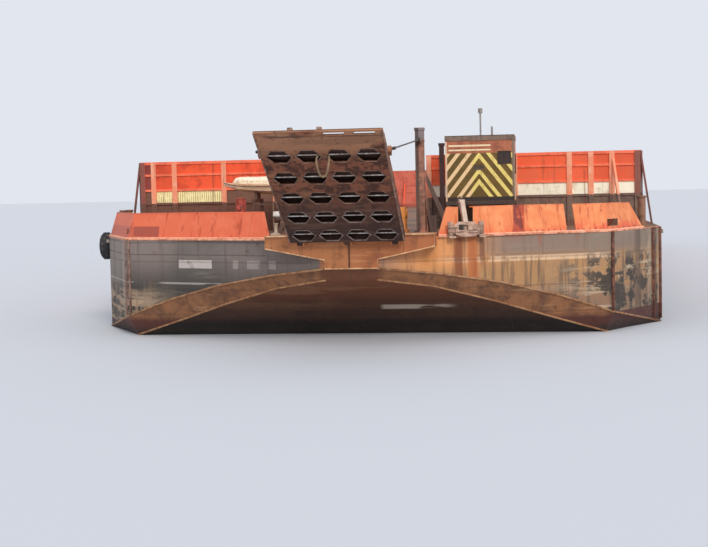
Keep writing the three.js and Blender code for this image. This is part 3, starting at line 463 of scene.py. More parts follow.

# Bow platform: a plated box under the ramp's hinges, painted over rust, with round bar welded round its front
# edge, painted pale as a highlight, and a flat bar over the seam down its middle, painted black as the seam's
# shade.
FRONT = 17.545
PLATFORM_EDGE = (
    # y, z round the front plate
    (-1.3, 2.185), (-1.3, 2.0), (-0.38, 1.815), (-0.38, 1.68),
    (0.43, 1.68), (0.43, 1.815), (1.3, 2.0), (1.3, 2.185),
)


def rectangle(a, b, c, d):
    """The four corners of a rectangle, from its first corner a, b to the opposite one c, d."""
    return (a, b), (c, b), (c, d), (a, d)


def bar_section(across, deep):
    """A flat bar's outline for sweep, centred on its path."""
    return rectangle(-across / 2, -deep / 2, across / 2, deep / 2)


# Thick red-brown deck paint rolled on rusty plate: dull, crusted at the bottom and walked bare on top, with a
# band of painted shade along the top of the front face under the ramp's hinge
platform_finish = finish(
    "rolled_platform_paint", 220, "#b8764a",
    (
        ("#ab663e", 1.0, ("y", -0.1, 0.3)),
        ("#8a5439", 0.75, ("blotch", 0.5, 0.66)),
        ("#5c3726", 0.55, ("runs", 0.58, 0.7)),
        ("#c98a5c", 0.6, ("scuffs", 0.56, 0.68)),
        # painted shade along the top of the front face, under the ramp's hinge
        ("#6b3f2c", 0.6, ("z", 2.1, 2.18), ("ahead", 0.5, 0.8)),
        ("#a2795a", 0.9, ("up", 0.8, 0.95), ("blotch", 0.62, 0.45)),
    ),
    0.7, 0.95, 0.01, worn="#a98060",
)
wear(platform_finish, "bow_platform")
edge_mesh = bmesh.new()
sweep(edge_mesh, [(FRONT + 0.004, y, z) for y, z in PLATFORM_EDGE], round_section(0.011), (1, 0, 0), True)
# painted highlight: the edge bar is painted pale, as the light it catches
edge_highlight_rust = bar_rust("rubbed_platform_edge", "#edbd90", "#c48c60")
piece("platform_edge_bars", edge_mesh, edge_highlight_rust, bevel=0.002)
middle_mesh = bmesh.new()
sweep(middle_mesh, [(FRONT + 0.006, 0, z) for z in (1.69, 2.12)], bar_section(0.018, 0.012), (1, 0, 0))
# painted shade: the middle bar is black, as the shade of the seam under it
seam_shade_rust = bar_rust("black_seam_rust", "#4a2d1e", "#2f1c14")
piece("platform_middle_bar", middle_mesh, seam_shade_rust, bevel=0.002)


# Ramp: a box-plated steel flap, raised and leaning out on its wires. Flat bar is welded round every
# hexagonal hole underneath, stiffeners cross the cells behind them, and grip bars cross the driving side.
HINGE = Vector((17.665, 0, 2.1))
RISE = math.radians(32.6)
HOLE_ROWS = (0.28, 0.8, 1.325, 1.855, 2.395)  # u, from the hinge
HOLE_COLUMNS = (-0.62, -0.2075, 0.2075, 0.62)  # v, across
HOLE_REACH = 0.18
UNDERSIDE = -0.055
HALF_RAMP = 0.875
GRIPS = 26  # bars in a row, a tenth of a metre apart
BEND = 1.5  # u where the driving side starts to slope down to the tip
SLOPE = math.atan2(0.17 / 2, 2.64 / 2)
ramp_place = Matrix.Translation(HINGE) @ Matrix.Rotation(-RISE, 4, "Y")
ramp_normal = ramp_place.to_3x3() @ Vector((0, 0, 1))
under_depth = ramp_normal.dot(ramp_place @ Vector((0, 0, UNDERSIDE)))


def on_ramp(u, v, w):
    """A point given from the hinge along the ramp, across it and above it."""
    return ramp_place @ Vector((u, v, w))


def set_out():
    """A tree that sets a copy of one piece on every point of a mesh, turned as the points' turn says."""
    tree = bpy.data.node_groups.new("pieces_set_out", "GeometryNodeTree")
    kinds = {"Geometry": "Geometry", "Piece": "Object", "Size": "Float", "Finish": "Material"}
    for label, kind in kinds.items():
        tree.interface.new_socket(label, in_out="INPUT", socket_type="NodeSocket" + kind)
    tree.interface.new_socket("Geometry", in_out="OUTPUT", socket_type="NodeSocketGeometry")
    given = tree.nodes.new("NodeGroupInput").outputs
    chosen = {"Object": given["Piece"]}
    part = node(tree, "GeometryNodeObjectInfo", chosen, "Geometry", transform_space="ORIGINAL")
    turns = {"Name": "turn"}
    turn = node(tree, "GeometryNodeInputNamedAttribute", turns, "Attribute", data_type="FLOAT_VECTOR")
    inputs = {"Points": given["Geometry"], "Instance": part, "Rotation": turn, "Scale": given["Size"]}
    spread = node(tree, "GeometryNodeInstanceOnPoints", inputs)
    real = node(tree, "GeometryNodeRealizeInstances", {"Geometry": spread})
    done = node(tree, "GeometryNodeSetMaterial", {"Geometry": real, "Material": given["Finish"]})
    tree.links.new(done, tree.nodes.new("NodeGroupOutput").inputs["Geometry"])
    return tree


setting_out = set_out()


def spread_pieces(name, pattern, places, material, body="barge", size=1.0):
    """Sets copies of a bmesh pattern at places, each a point and its turn, and makes them one plain piece."""
    shape = bpy.data.meshes.new(name + "_pattern")
    bmesh.ops.recalc_face_normals(pattern, faces=pattern.faces[:])
    pattern.to_mesh(shape)
    pattern.free()
    points = bpy.data.meshes.new(name + "_points")
    points.from_pydata([place for place, turn in places], [], [])
    turns = points.attributes.new("turn", "FLOAT_VECTOR", "POINT")
    for i, (place, turn) in enumerate(places):
        turns.data[i].vector = turn
    part, host = (bpy.data.objects.new(data.name, data) for data in (shape, points))
    for helper in (part, host):
        bpy.context.scene.collection.objects.link(helper)
    modifier = host.modifiers.new("set_out", "NODES")
    modifier.node_group = setting_out
    values = {"Piece": part, "Size": size, "Finish": material}
    for item in setting_out.interface.items_tree:
        if item.name in values:
            modifier[item.identifier] = values[item.name]
    data = bpy.data.meshes.new_from_object(host.evaluated_get(bpy.context.evaluated_depsgraph_get()))
    data.name = name
    host.modifiers.remove(modifier)
    for helper in (host, part):
        bpy.data.objects.remove(helper)
    return ride_on(name, data, body)


def block(mesh, low, high, place=Matrix()):
    """Adds a box between two corners to a bmesh, perhaps moved by a matrix."""
    size = [b - a for a, b in zip(low, high)]
    centre = [(a + b) / 2 for a, b in zip(low, high)]
    for vert in bmesh.ops.create_cube(mesh, size=1.0)["verts"]:
        vert.co = place @ Vector([c + v * s for c, v, s in zip(centre, vert.co, size)])


# Rusted, tarry mild steel: almost no paint left, brown-black with brighter rust where cargo rubs it. A band
# of painted shadow lies under the lip at the top, and the cells behind the holes are painted dark as their
# shade.
work = start_finish("rusted_ramp_plate", 200)
depth = node(work.tree, "VectorMath", {0: work.place, 1: ramp_normal}, 1, operation="DOT_PRODUCT")
look = node(work.tree, "TexCoord", out=1)
outer = node(work.tree, "VectorMath", {0: look, 1: ramp_normal}, 1, operation="DOT_PRODUCT")
cells = (
    (depth, under_depth + 0.018, under_depth + 0.024), (depth, under_depth + 0.15, under_depth + 0.14),
    ("y", -0.86, -0.855), ("y", 0.86, 0.855), ("z", 3.72, 3.7), (outer, 0.6, 0.4),
)
colour = lay(
    work, "#884e34",
    ("#4c2818", 1.0, ("blotch", 0.46, 0.56)),
    ("#a06a4a", 0.6, ("scuffs", 0.54, 0.66)),
    ("#ae7a58", 0.85, ("z", 3.25, 3.5), ("broad", 0.38, 0.48)),
    ("#8a5f45", 0.7, ("z", 3.3, 3.4), ("scuffs", 0.48, 0.42)),
    # painted shadow in a band under the lip
    ("#4a2f22", 0.7, ("z", 3.58, 3.595), ("z", 3.655, 3.64), ("scuffs", 0.52, 0.46)),
    ("#442a20", 0.75, ("z", 3.0, 2.5)),
    ("#33201a", 0.75, ("z", 2.5, 2.2)),
    ("#6e4c3c", 0.45, ("z", 2.9, 2.6), ("scuffs", 0.5, 0.6)),
    ("#33211c", 0.5, ("runs", 0.56, 0.7)),
    # painted shade inside the cells behind the holes
    ("#452d23", 1.0, *cells),
)
wear(end_finish(work, colour, 0.65, 0.95, 0.01, worn="#8d6650"), "ramp")
collar_rust = bar_rust("rubbed_collar_rust", "#9c7a68", "#6b4c3f")
# painted highlight: the two lower rows of collars are paler, as their lit rims
highlit_collar_rust = bar_rust("bright_collar_rust", "#a8958d", "#6f5b52")
for part, rust, chosen in (("low", highlit_collar_rust, HOLE_ROWS[:2]), ("high", collar_rust, HOLE_ROWS[2:])):
    collar = bmesh.new()
    hexagon = [(*around(HOLE_REACH, 6, k + 0.5), 0) for k in range(6)]
    sweep(collar, hexagon, bar_section(0.009, 0.014), closed=True)
    holes = [(on_ramp(u, v, UNDERSIDE), (0, -RISE, 0)) for u in chosen for v in HOLE_COLUMNS]
    spread_pieces("ramp_hole_collars_" + part, collar, holes, rust, "ramp")

brace_mesh = bmesh.new()
for u in HOLE_ROWS:
    block(brace_mesh, (u - 0.04, -0.85, -0.012), (u - 0.022, 0.85, -0.002), ramp_place)
# painted highlight: the stiffeners are near white, as the bright line seen inside each hole
stiffener_rust = bar_rust("stiffener_rust", "#f4ece6", "#b8a598")
piece("ramp_cell_stiffeners", brace_mesh, stiffener_rust, "ramp")

grip = bmesh.new()
block(grip, (-0.006, -0.36, -0.004), (0.006, 0.36, 0.006))
grips = []
for k in range(GRIPS):
    u = 0.16 + 0.1 * k
    height = 0.095 - max(u - BEND, 0) * math.tan(SLOPE)
    turn = (0, -RISE + (SLOPE if u > BEND else 0), 0)
    grips += [(on_ramp(u, v, height), turn) for v in (-0.43, 0.43)]
spread_pieces("ramp_grip_bars", grip, grips, collar_rust, "ramp")

trim_mesh = bmesh.new()
for v in (-HALF_RAMP + 0.008, HALF_RAMP - 0.008):
    sweep(trim_mesh, [on_ramp(u, v, UNDERSIDE - 0.004) for u in (0.08, 2.96)], round_section(0.012))
sweep(trim_mesh, [on_ramp(2.955, v, -0.036) for v in (-0.87, 0.87)], round_section(0.018))
for v in (-0.375, 0.02):
    block(trim_mesh, (2.93, v - 0.035, -0.03), (2.985, v + 0.035, 0.02), ramp_place)
piece("ramp_edge_bars", trim_mesh, collar_rust, "ramp", bevel=0.003)

# King posts: square box posts bolted down by a foot plate, each with a raking brace and a fork for its
# hoist wire. Round-bar rungs are welded up the after face, a conduit runs up the front, and three bands
# ring each post.
POST_X = 15.84
POST_Y = 0.9475
POST_BAND = 0.078  # half the width of a band
RUNGS = 12


def disc(mesh, centre, radius, deep, sides=20, top=None, turn=Matrix()):
    """Adds a short upright cylinder to a bmesh, perhaps tapered to its top or turned."""
    place = Matrix.Translation(centre) @ turn
    shape = {"radius1": radius, "radius2": top or radius, "depth": deep, "segments": sides}
    bmesh.ops.create_cone(mesh, cap_ends=True, matrix=place, **shape)


# Old red oxide worn to rust, darker outboard of each post, with painted shade down each post's inboard side,
# and grey over the head
post_finish = finish(
    "tarred_red_oxide", 180, "#a2705d",
    (
        ("#7c5747", 1.0, ("blotch", 0.42, 0.6)),
        ("#4f3a31", 0.7, ("runs", 0.52, 0.66)),
        ("#b8755a", 0.7, ("scuffs", 0.56, 0.66)),
        ("#85797a", 0.95, ("z", 3.635, 3.66), ("blotch", 0.7, 0.5)),
        ("#57443e", 0.9, ("outward", 1.045, 1.055)),
        # painted shade down the inboard side of each post
        ("#463a36", 0.85, ("outward", 0.94, 0.93), ("blotch", 0.66, 0.5)),
    ),
    0.6, 0.9, 0.008, worn="#b0826a",
)
wear(post_finish, "king_post_port", "king_post_starboard")
post_mesh = bmesh.new()
for side in (1, -1):
    near, far = side * (POST_Y - 0.05), side * (POST_Y + 0.05)
    for k in range(RUNGS):
        rung = [(POST_X - reach, y, 2.42 + 0.11 * k) for reach, y in rectangle(0.07, near, 0.115, far)]
        sweep(post_mesh, rung, round_section(0.006, 6))
    conduit = [(POST_X + 0.074, side * (POST_Y - 0.058), z) for z in (2.2, 3.6)]
    sweep(post_mesh, conduit, round_section(0.012, 8), (0, 1, 0))
    for z in (2.75, 3.15, 3.63):
        low = (POST_X - POST_BAND, side * POST_Y - POST_BAND, z)
        block(post_mesh, low, (POST_X + POST_BAND, side * POST_Y + POST_BAND, z + 0.018))
    for x, y in ((15.7, 0.84), (15.7, 1.05), (15.98, 0.84), (15.98, 1.05)):
        disc(post_mesh, (x, side * y, 2.165), 0.013, 0.02, 6)
piece("king_post_fittings", post_mesh, post_finish, bevel=0.002)

# Hoist wires: six-strand galvanised wire rope from the post heads to the ramp's eyes, greased and dusty.
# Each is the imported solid, held by its post's fork.
WAVE_PITCH = 314.16  # mm between the lines of a wave texture at scale 1
WIRE_PITCH = 47.35

# Laid wire: the strands' slant shows as fine dark lines some 50 mm apart, with grease between them
work = start_finish("greased_wire_rope", 60)
slant = node(work.tree, "Mapping", {"Vector": work.place, "Rotation": (0.0, 0.9, 0.0)})
lines = node(work.tree, "TexWave", {"Vector": slant, "Scale": WAVE_PITCH / WIRE_PITCH}, 1)
colour = lay(work, "#5b5550", ("#23201e", 0.8, (lines, 0.6, 0.2)), ("#7a4b33", 0.6, ("blotch", 0.56, 0.66)))
wire_finish = end_finish(work, colour, 0.4, 0.7, 0.003, lines, metallic=0.3, edge=0.002)
wear(wire_finish, "hoist_wire_port", "hoist_wire_starboard")

# Ramp winch: a welded bed with two cheeks and a gear housing, and a drum wound with spare wire. It is
# painted ochre, and greasy where the wire runs.
DRUM = Vector((15.15, 0, 2.45))
WIRE_TURNS = 34
TURN_STEPS = 14


def gear_paint(name, paint, under, grime_and_shade="#4a4039", worn="#8d6c55"):
    """Brushed deck-gear paint, chipped to its undercoat, with runs of grime, and painted shade on the faces
    that look down.
    """
    coats = (
        (under, 0.9, ("blotch", 0.5, 0.62)),
        (grime_and_shade, 0.6, ("runs", 0.52, 0.68)),
        # painted shade: faces that look down are darker
        (grime_and_shade, 0.5, ("up", -0.2, -0.7)),
    )
    return finish(name, 130, paint, coats, 0.5, 0.85, 0.006, worn=worn)


winch_finish = gear_paint("ochre_gear_paint", "#f29c4c", "#c46c30")
wear(winch_finish, "ramp_winch_bed")
wear(gear_paint("worn_drum_paint", "#7e5a47", "#5a4138"), "ramp_winch_drum")
wound_mesh = bmesh.new()
wound_line = []
for k in range(WIRE_TURNS * TURN_STEPS + 1):
    x, z = around(0.105, TURN_STEPS, k)
    wound_line.append(DRUM + Vector((x, -0.262 + 0.524 * k / (WIRE_TURNS * TURN_STEPS), z)))
sweep(wound_mesh, wound_line, round_section(0.0078, 5), (0, 1, 0))
piece("wound_wire", wound_mesh, wire_finish, "winch_drum", soft=True)
winch_mesh = bmesh.new()
for side in (-1, 1):
    for x in (14.93, 15.37):
        for y in (0.34, 0.12):
            disc(winch_mesh, (x, side * y, 2.203), 0.014, 0.02, 6)
for y, reach in ((0.335, 0.1), (-0.345, 0.07), (0.64, 0.09)):
    outward = Matrix.Rotation(math.radians(-90 if y > 0 else 90), 4, "X")
    disc(winch_mesh, (DRUM.x, y, DRUM.z), reach, 0.03, top=reach * 0.8, turn=outward)
piece("winch_bosses", winch_mesh, winch_finish, bevel=0.003)

# Bulwarks: raking plates along the bow's deck edge, painted orange over red lead, with a capping bar, weld
# beads where frames stand behind them, and rust below every joint.
FLOOR = 2.13535
SWEPT_IN = (-0.913, -0.408)
SHOULDER_IN = (-0.72, -0.74)
FACET_IN = (-0.44, -0.898)
DRAIN_PITCH = 92.4  # mm between drain marks


def swept(y):
    """A corner on the swept face's deck edge, by its distance from the centreline: x, y and the way in."""
    return 17.525 - (abs(y) - 0.41) * 1.605 / 3.59, y, SWEPT_IN


PORT_SHOULDER = (15.92, 4.0, SHOULDER_IN)
STARBOARD_END = ((15.92, -4.0, SHOULDER_IN), (14.16, -4.86, (-0.24, -0.97)))
RIMS = (
    # height, and the corners, outer ends first
    (0.42, (swept(-1.51), *STARBOARD_END)),
    (0.4375, (swept(1.51), swept(1.612))),
    (0.4375, (swept(1.845), swept(3.295))),
    (0.43, (swept(3.445), PORT_SHOULDER, (15.01, 4.445, FACET_IN))),
)
LEDGES = ((swept(-1.33), *STARBOARD_END), (swept(1.33), PORT_SHOULDER, (14.75, 4.575, FACET_IN)))
FRAMES = (-1.7, -1.93, -2.35, -2.76, -3.3, 2.0, 2.12, 2.46, 2.62, 2.95, 3.2, 3.55, 3.75)


def on_plate(corner, depth, height):
    """A point on a bulwark, at a depth behind its outer face and a height above the deck."""
    x, y, inward = corner
    reach = 0.02 + 0.13 * height / 0.445 + depth
    return Vector((x + inward[0] * reach, y + math.copysign(1, y) * inward[1] * reach, FLOOR + height))


# Orange marine enamel, chalked and thin: the port side stays bright, the starboard side has gone pink
work = start_finish("orange_bulwark_enamel", 260)
port = lay(
    work, "#e27d48",
    ("#f0955e", 0.8, ("blotch", 0.45, 0.62)),
    ("#dc6238", 0.7, ("z", 2.28, 2.17), ("blotch", 0.66, 0.45)),
)
dark_end = (("z", 2.345, 2.33), ("y", -3.36, -3.38))
starboard = lay(
    work, "#dc6642",
    ("#e4744e", 0.7, ("blotch", 0.45, 0.62)),
    ("#b4573f", 0.75, *dark_end),
    ("#9c4636", 0.8, *dark_end, ("y", -3.88, -3.86), ("z", 2.17, 2.18)),
)
inputs = {"Vector": work.place, "Scale": WAVE_PITCH / DRAIN_PITCH}
drains = node(work.tree, "TexWave", inputs, 1, bands_direction="Y")
# The stained stretch between two frames, where a tank has vented over the plate
stain = (("y", 2.44, 2.47), ("y", 2.64, 2.61))
colour = lay(
    work, starboard,
    (port, 1.0, ("y", -0.5, 0.5)),
    ("#e0603c", 0.7, ("y", 3.42, 3.44), ("z", 2.32, 2.22), ("blotch", 0.6, 0.45)),
    ("#b04528", 0.8, ("runs", 0.55, 0.66)),
    ("#8a4530", 0.6, (drains, 0.7, 0.85), ("z", 2.195, 2.18), ("z", 2.15, 2.16), ("y", 2.5, 2.7)),
    ("#b0401f", 1.0, *stain),
    ("#e8673a", 0.6, *stain, ("z", 2.36, 2.38), ("z", 2.42, 2.4), ("blotch", 0.66, 0.5)),
    ("#74261a", 0.85, *stain, ("runs", 0.46, 0.56)),
    ("#8a4a33", 0.8, ("ahead", 0.1, -0.2)),
)
bulwark_finish = end_finish(work, colour, 0.45, 0.75, 0.02, "broad", worn="#f6b592")
wear(bulwark_finish, "bulwark_starboard", "bulwark_port_inner", "bulwark_port_outer", "stern_bulwark")
rim_mesh, ledge_mesh, weld_mesh = (bmesh.new() for _ in range(3))
for height, corners in RIMS:
    sweep(rim_mesh, [on_plate(corner, 0.0125, height - 0.006) for corner in corners], round_section(0.012, 8))
for corners in LEDGES:
    sweep(ledge_mesh, [on_plate(corner, -0.012, 0.012) for corner in corners], bar_section(0.03, 0.024))
for y in FRAMES:
    weld = [on_plate(swept(y), -0.001, height) for height in (0.02, 0.41)]
    sweep(weld_mesh, weld, round_section(0.0045, 6), (0, 1, 0))
ledge_finish = gear_paint("pale_ledge_enamel", "#ffb896", "#e88c66", "#c4694a", "#ffd2b4")
piece("bulwark_rims", rim_mesh, bulwark_finish, soft=True)
piece("bulwark_ledge", ledge_mesh, ledge_finish, bevel=0.004)
piece("bulwark_weld_beads", weld_mesh, bulwark_finish, soft=True)

# Anchor and chain: a stockless cast anchor, its shank drawn up into the notch in the port bulwark.
# Short-link chain runs from its shackle over the edge and down to a stopper on deck.
face_turn = Matrix.Rotation(math.atan2(-SWEPT_IN[1], -SWEPT_IN[0]), 4, "Z")
face = Matrix.Translation((swept(1.715)[0], 1.715, 0)) @ face_turn
STOPPER = (
    # low and high corners of its plate, its two cheeks and its bar, above the deck
    ((-0.6, -0.08, 0), (-0.4, 0.08, 0.03)),
    ((-0.53, -0.055, 0), (-0.44, -0.025, 0.13)),
    ((-0.53, 0.025, 0), (-0.44, 0.055, 0.13)),
    ((-0.535, -0.055, 0.09), (-0.505, 0.055, 0.12)),
)


def cast_iron(name, pale, dark):
    """A sand casting with chalky primer: grainy, pale on top, and darker on the faces that look down, as
    painted shade.
    """
    # painted shade: faces that look down are darker
    coats = ((dark, 1.0, ("blotch", 0.46, 0.6)), ("#5e4534", 0.8, ("up", -0.1, -0.6)))
    return finish(name, 90, pale, coats, 0.7, 0.95, 0.01, worn="#c3a990", edge=0.015)


def chain_link(straight, end, side, bar, points, sides):
    """A link of round bar: half its straight, its reach to end and side, the bar's radius, its points."""
    oval = []
    for k in range(points):
        along, across = around(1, points, k)
        oval.append((math.copysign(straight, along) + end * along, side * across, 0))
    link = bmesh.new()
    sweep(link, oval, round_section(bar, sides), closed=True)
    return link


def links_along(start, end, pitch, first=0):
    """Places for links on a straight stretch of chain, each a quarter turn from the one before."""
    way = end - start
    heading = way.to_track_quat("X", "Z").to_matrix()
    places = []
    for k in range(int(way.length / pitch) + 1):
        turn = heading @ Matrix.Rotation(math.radians(90 * ((first + k) % 2)), 3, "X")
        places.append((start + way.normalized() * pitch * k, tuple(turn.to_euler())))
    return places


# Grey primer on a steel casting, dark and rusty round the crown; painted highlight on top, painted shade
# below, and a black patch of painted shadow at its socket
socket = (("y", 1.641, 1.648), ("y", 1.725, 1.718), ("z", 2.218, 2.226), ("z", 2.31, 2.302))
anchor_primer = finish(
    "cast_anchor_primer", 90, "#c4a18b",
    (
        ("#a17c6b", 1.0, ("blotch", 0.42, 0.6)),
        ("#6b4f42", 0.85, ("scuffs", 0.52, 0.46), ("z", 2.31, 2.27)),
        # painted highlight on the faces that look up
        ("#e0cdbd", 0.8, ("up", 0.2, 0.6)),
        # painted shade on the faces that look down
        ("#5d4438", 0.7, ("up", -0.1, -0.5)),
        # painted shadow: a black patch where the socket's hollow lies
        ("#1e1613", 0.95, *socket),
    ),
    0.7, 0.95, 0.01, worn="#c3a990", edge=0.015,
)
wear(anchor_primer, "anchor")
chain_line = [face @ Vector(point) for point in ((-0.11, 0, 2.71), (-0.2, 0, 2.7), (-0.48, 0, 2.2))]
links = []
for start, end in zip(chain_line, chain_line[1:]):
    links += links_along(start, end, 0.048, len(links))
link = chain_link(0.013, 0.021, 0.019, 0.00775, 12, 6)
chain = spread_pieces("anchor_chain_links", link, links, cast_iron("rusted_chain", "#7b5a45", "#4b3429"))
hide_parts("anchor_chain")
stopper_mesh = bmesh.new()
for low, high in STOPPER:
    block(stopper_mesh, low, high, face @ Matrix.Translation((0, 0, FLOOR)))
stopper = piece("chain_stopper", stopper_mesh, post_finish, bevel=0.004)
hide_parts("anchor_chain")

# Cargo sideboards and end walls: planks and pressed plate on welded posts, painted red; the bow wall also
# has a cream strip above its open legs. The three depths of the bow wall (posts, rails, boards) are painted
# apart.
BOW_WALL = ("x", 12.7, 12.75)
MARK_PITCH = 41.888  # mm between the dark marks on the cream strip
PLANK_PITCH = 628.32
SIDE_RIBS = 150
WALL_RIBS = 44
RIB_SECTION = ((-0.02, 0.0), (0.02, 0.0), (0.012, 0.012), (-0.012, 0.012))

# Red oxide and orange on boards, pinker on the posts, cream on the strip, and soot and rust in the runs;
# painted shade darkens the bow wall below the strip and its starboard end bay
work = start_finish("red_cargo_board_paint", 240)
port = lay(work, "#f46538", ("#ec7450", 0.6, ("blotch", 0.46, 0.62)))
rail = lay(work, "#ff7a55", ("#dd5f40", 0.7, ("blotch", 0.46, 0.6)))
inputs = {"Vector": work.place, "Scale": WAVE_PITCH / MARK_PITCH}
marks = node(work.tree, "TexWave", inputs, 1, bands_direction="Y")
strip = lay(
    work, "#fff0b0",
    ("#fff8e0", 1.0, ("y", -0.3, 0.3)),
    ("#8b6f4a", 0.75, (marks, 0.68, 0.84), ("y", 0.3, -0.3), ("blotch", 0.4, 0.54)),
    ("#cdb68c", 0.5, ("blotch", 0.54, 0.66)),
    # painted shade over the strip in the starboard end bay
    ("#6d4036", 0.95, ("y", -4.36, -4.38)),
    ("#6d4036", 0.95, ("y", -3.05, -3.03), ("y", 0.0, -0.5)),
)
post = lay(
    work, "#f2946f",
    ("#f8b090", 0.8, ("blotch", 0.46, 0.6)),
    ("#b8604a", 0.5, ("runs", 0.56, 0.68)),
    # painted shade on the posts of the starboard end bay
    ("#7a3a35", 0.9, ("y", -4.42, -4.44)),
    ("#744038", 0.9, ("y", 4.4, 4.42)),
)
leg = lay(work, "#6b5348", ("#8a6f5e", 0.7, ("blotch", 0.44, 0.6)), ("#6a3826", 0.7, ("y", 0.3, -0.3)))
aft = lay(work, "#d2735f", ("#ba5a4a", 0.7, ("blotch", 0.45, 0.6)))
colour = lay(
    work, "#f85a2c",
    ("#d04626", 0.8, ("blotch", 0.48, 0.62)),
    (port, 0.8, ("y", -0.3, 0.3), BOW_WALL),
    ("#b03c20", 0.3, ("outward", 3.7, 3.95), BOW_WALL),
    # painted shade on the boards of the starboard end bay
    ("#7c3530", 0.9, ("y", -4.36, -4.42), BOW_WALL),
    (rail, 1.0, ("x", 12.868, 12.874), BOW_WALL),
    (strip, 1.0, ("z", 2.925, 2.915), ("z", 2.68, 2.69), BOW_WALL, ("x", 12.874, 12.868)),
    # painted shade: the bow wall below the strip, foot rail included, is dark
    ("#644a40", 1.0, ("z", 2.7, 2.697), BOW_WALL),
    (post, 1.0, ("x", 12.886, 12.89)),
    (leg, 1.0, ("z", 2.69, 2.68), BOW_WALL),
    (aft, 0.9, ("x", -12.5, -12.55)),
    ("#5f3d37", 0.9, ("outward", 4.625, 4.635), ("x", 12.6, 12.65)),
    ("#7d3524", 0.55, ("runs", 0.57, 0.72)),
    ("#6e3a2b", 0.5, ("z", 2.3, 2.2)),
)
inputs = {"Vector": work.place, "Scale": WAVE_PITCH / PLANK_PITCH}
planks = node(work.tree, "TexWave", inputs, 1, bands_direction="Z")
height = node(work.tree, "Math", {0: planks, 1: 0.6, 2: work.blotch}, operation="MULTIPLY_ADD")
board_finish = end_finish(work, colour, 0.5, 0.85, 0.012, height, worn="#c98468")
wear(board_finish, *(name for name in nodes if name.startswith(("sideboard_", "end_wall_"))))

# Pressed ribs stiffen the side boards and the aft wall between the posts
rib = bmesh.new()
sweep(rib, [(0, 0, z) for z in (-0.24, 0.24)], RIB_SECTION, (1, 0, 0))
ribs = [((-12.71, -4.5 + 0.2093 * k, 3.15), (0, 0, math.pi)) for k in range(WALL_RIBS)]
for side in (1, -1):
    for k in range(SIDE_RIBS):
        x = -12.5 + 0.1685 * k
        ribs.append(((x, side * 4.615, 3.08), (0, 0, side * math.pi / 2)))
        if k % 2:
            ribs.append(((x, side * 4.585, 3.08), (0, 0, -side * math.pi / 2)))
spread_pieces("board_ribs", rib, ribs, board_finish)

# Lashing rings: a forged ring on a welded pad every few metres inside the boards, for the cargo's chains.
# They stand in four rows along the cargo deck, and are as worn as the platform.
ring = bmesh.new()
block(ring, (-0.06, -0.035, 0), (0.06, 0.035, 0.008))
sweep(ring, [(*around(0.04, 12, k), 0.012) for k in range(12)], round_section(0.007, 6), closed=True)
rings = [((-12.0 + 2.0 * k, y, FLOOR - 0.0004), (0, 0, 0)) for k in range(13) for y in (-3.6, -1.2, 1.2, 3.6)]
spread_pieces("lashing_rings", ring, rings, platform_finish)


# Deck cabin: a plated box on a raised frame. Its front is olive with cream and yellow chevrons under an
# orange band with two cream lines; the roof is a grey-brown slab with a drip edge, and the windows have
# dark frames.
CABIN_FRONT = 14.1
CABIN_PORT = 2.42
APEX = 1.81  # y of the chevrons' middle
STRIPE = 0.046  # half a chevron's height

# Sign-painter's enamels on flat plate: crisp chevrons, faded where the sun and exhaust reach them
work = start_finish("cabin_sign_enamel", 120)
away = node(work.tree, "Math", {0: work.y, 1: APEX}, operation="SUBTRACT")
away = node(work.tree, "Math", {0: away}, operation="ABSOLUTE")
climb = node(work.tree, "Math", {0: away, 1: 1.285, 2: work.z}, operation="MULTIPLY_ADD")
cream = lay(work, "#f2dc7c", ("#f4cba4", 0.8, ("y", 1.72, 1.66)), ("#c9a860", 0.6, ("blotch", 0.52, 0.64)))
front = lay(work, "#5f4808", ("#735620", 0.8, ("blotch", 0.45, 0.6)))
for middle in (2.96, 3.15, 3.42, 3.66, 3.91, 4.14):
    front = lay(work, front, (cream, 0.97, *within(climb, middle - STRIPE, middle + STRIPE, 0.008)))
band = lay(work, "#b56a48", ("#8f4e36", 0.8, ("blotch", 0.46, 0.6)))
front = lay(work, front, (band, 1.0, ("z", 3.45, 3.458)))
for low, high in ((3.575, 3.6), (3.5, 3.522)):
    stripe = (*within("z", low, high, 0.004), ("y", 1.28, 1.29), ("y", 2.02, 2.01))
    front = lay(work, front, ("#f4e0b8", 0.95, *stripe))
front = lay(
    work, front,
    ("#7d6a5a", 1.0, ("y", 2.38, 2.39)),
    # painted shade: the foot of the walls is dark, as the shade under the raised cabin
    ("#2f211d", 1.0, ("z", 2.7, 2.69)),
    ("#e8c4a4", 0.9, ("y", 1.262, 1.25)),
)
colour = lay(
    work, "#ddc9a2",
    ("#b99a70", 0.9, ("blotch", 0.46, 0.62)),
    ("#c4683f", 0.95, ("z", 3.45, 3.46)),
    ("#7b4b34", 0.7, ("runs", 0.54, 0.66)),
    (front, 1.0, ("ahead", 0.5, 0.7)),
    ("#6f4a2c", 0.45, ("runs", 0.57, 0.7)),
)
wear(end_finish(work, colour, 0.4, 0.7, 0.003, worn="#b58a63"), "cabin_walls")
wear(gear_paint("grey_brown_roof_paint", "#846b5d", "#6b5647"), "cabin_roof")
# the frame is painted dark as the shade under the cabin
wear(gear_paint("sooted_frame_paint", "#4a3832", "#33251f"), "cabin_frame")
# the duct is painted dark, as the shade beside the cabin's front
wear(gear_paint("sooted_duct_paint", "#3e1c19", "#2a1513", "#1f1311", "#5a342e"), "cabin_duct")
wear(gear_paint("brown_door_paint", "#8a6a54", "#6d4c3b"), "cabin_door")
steel_grey = gear_paint("weathered_grey_gear_paint", "#7d6d60", "#5e4a3e")

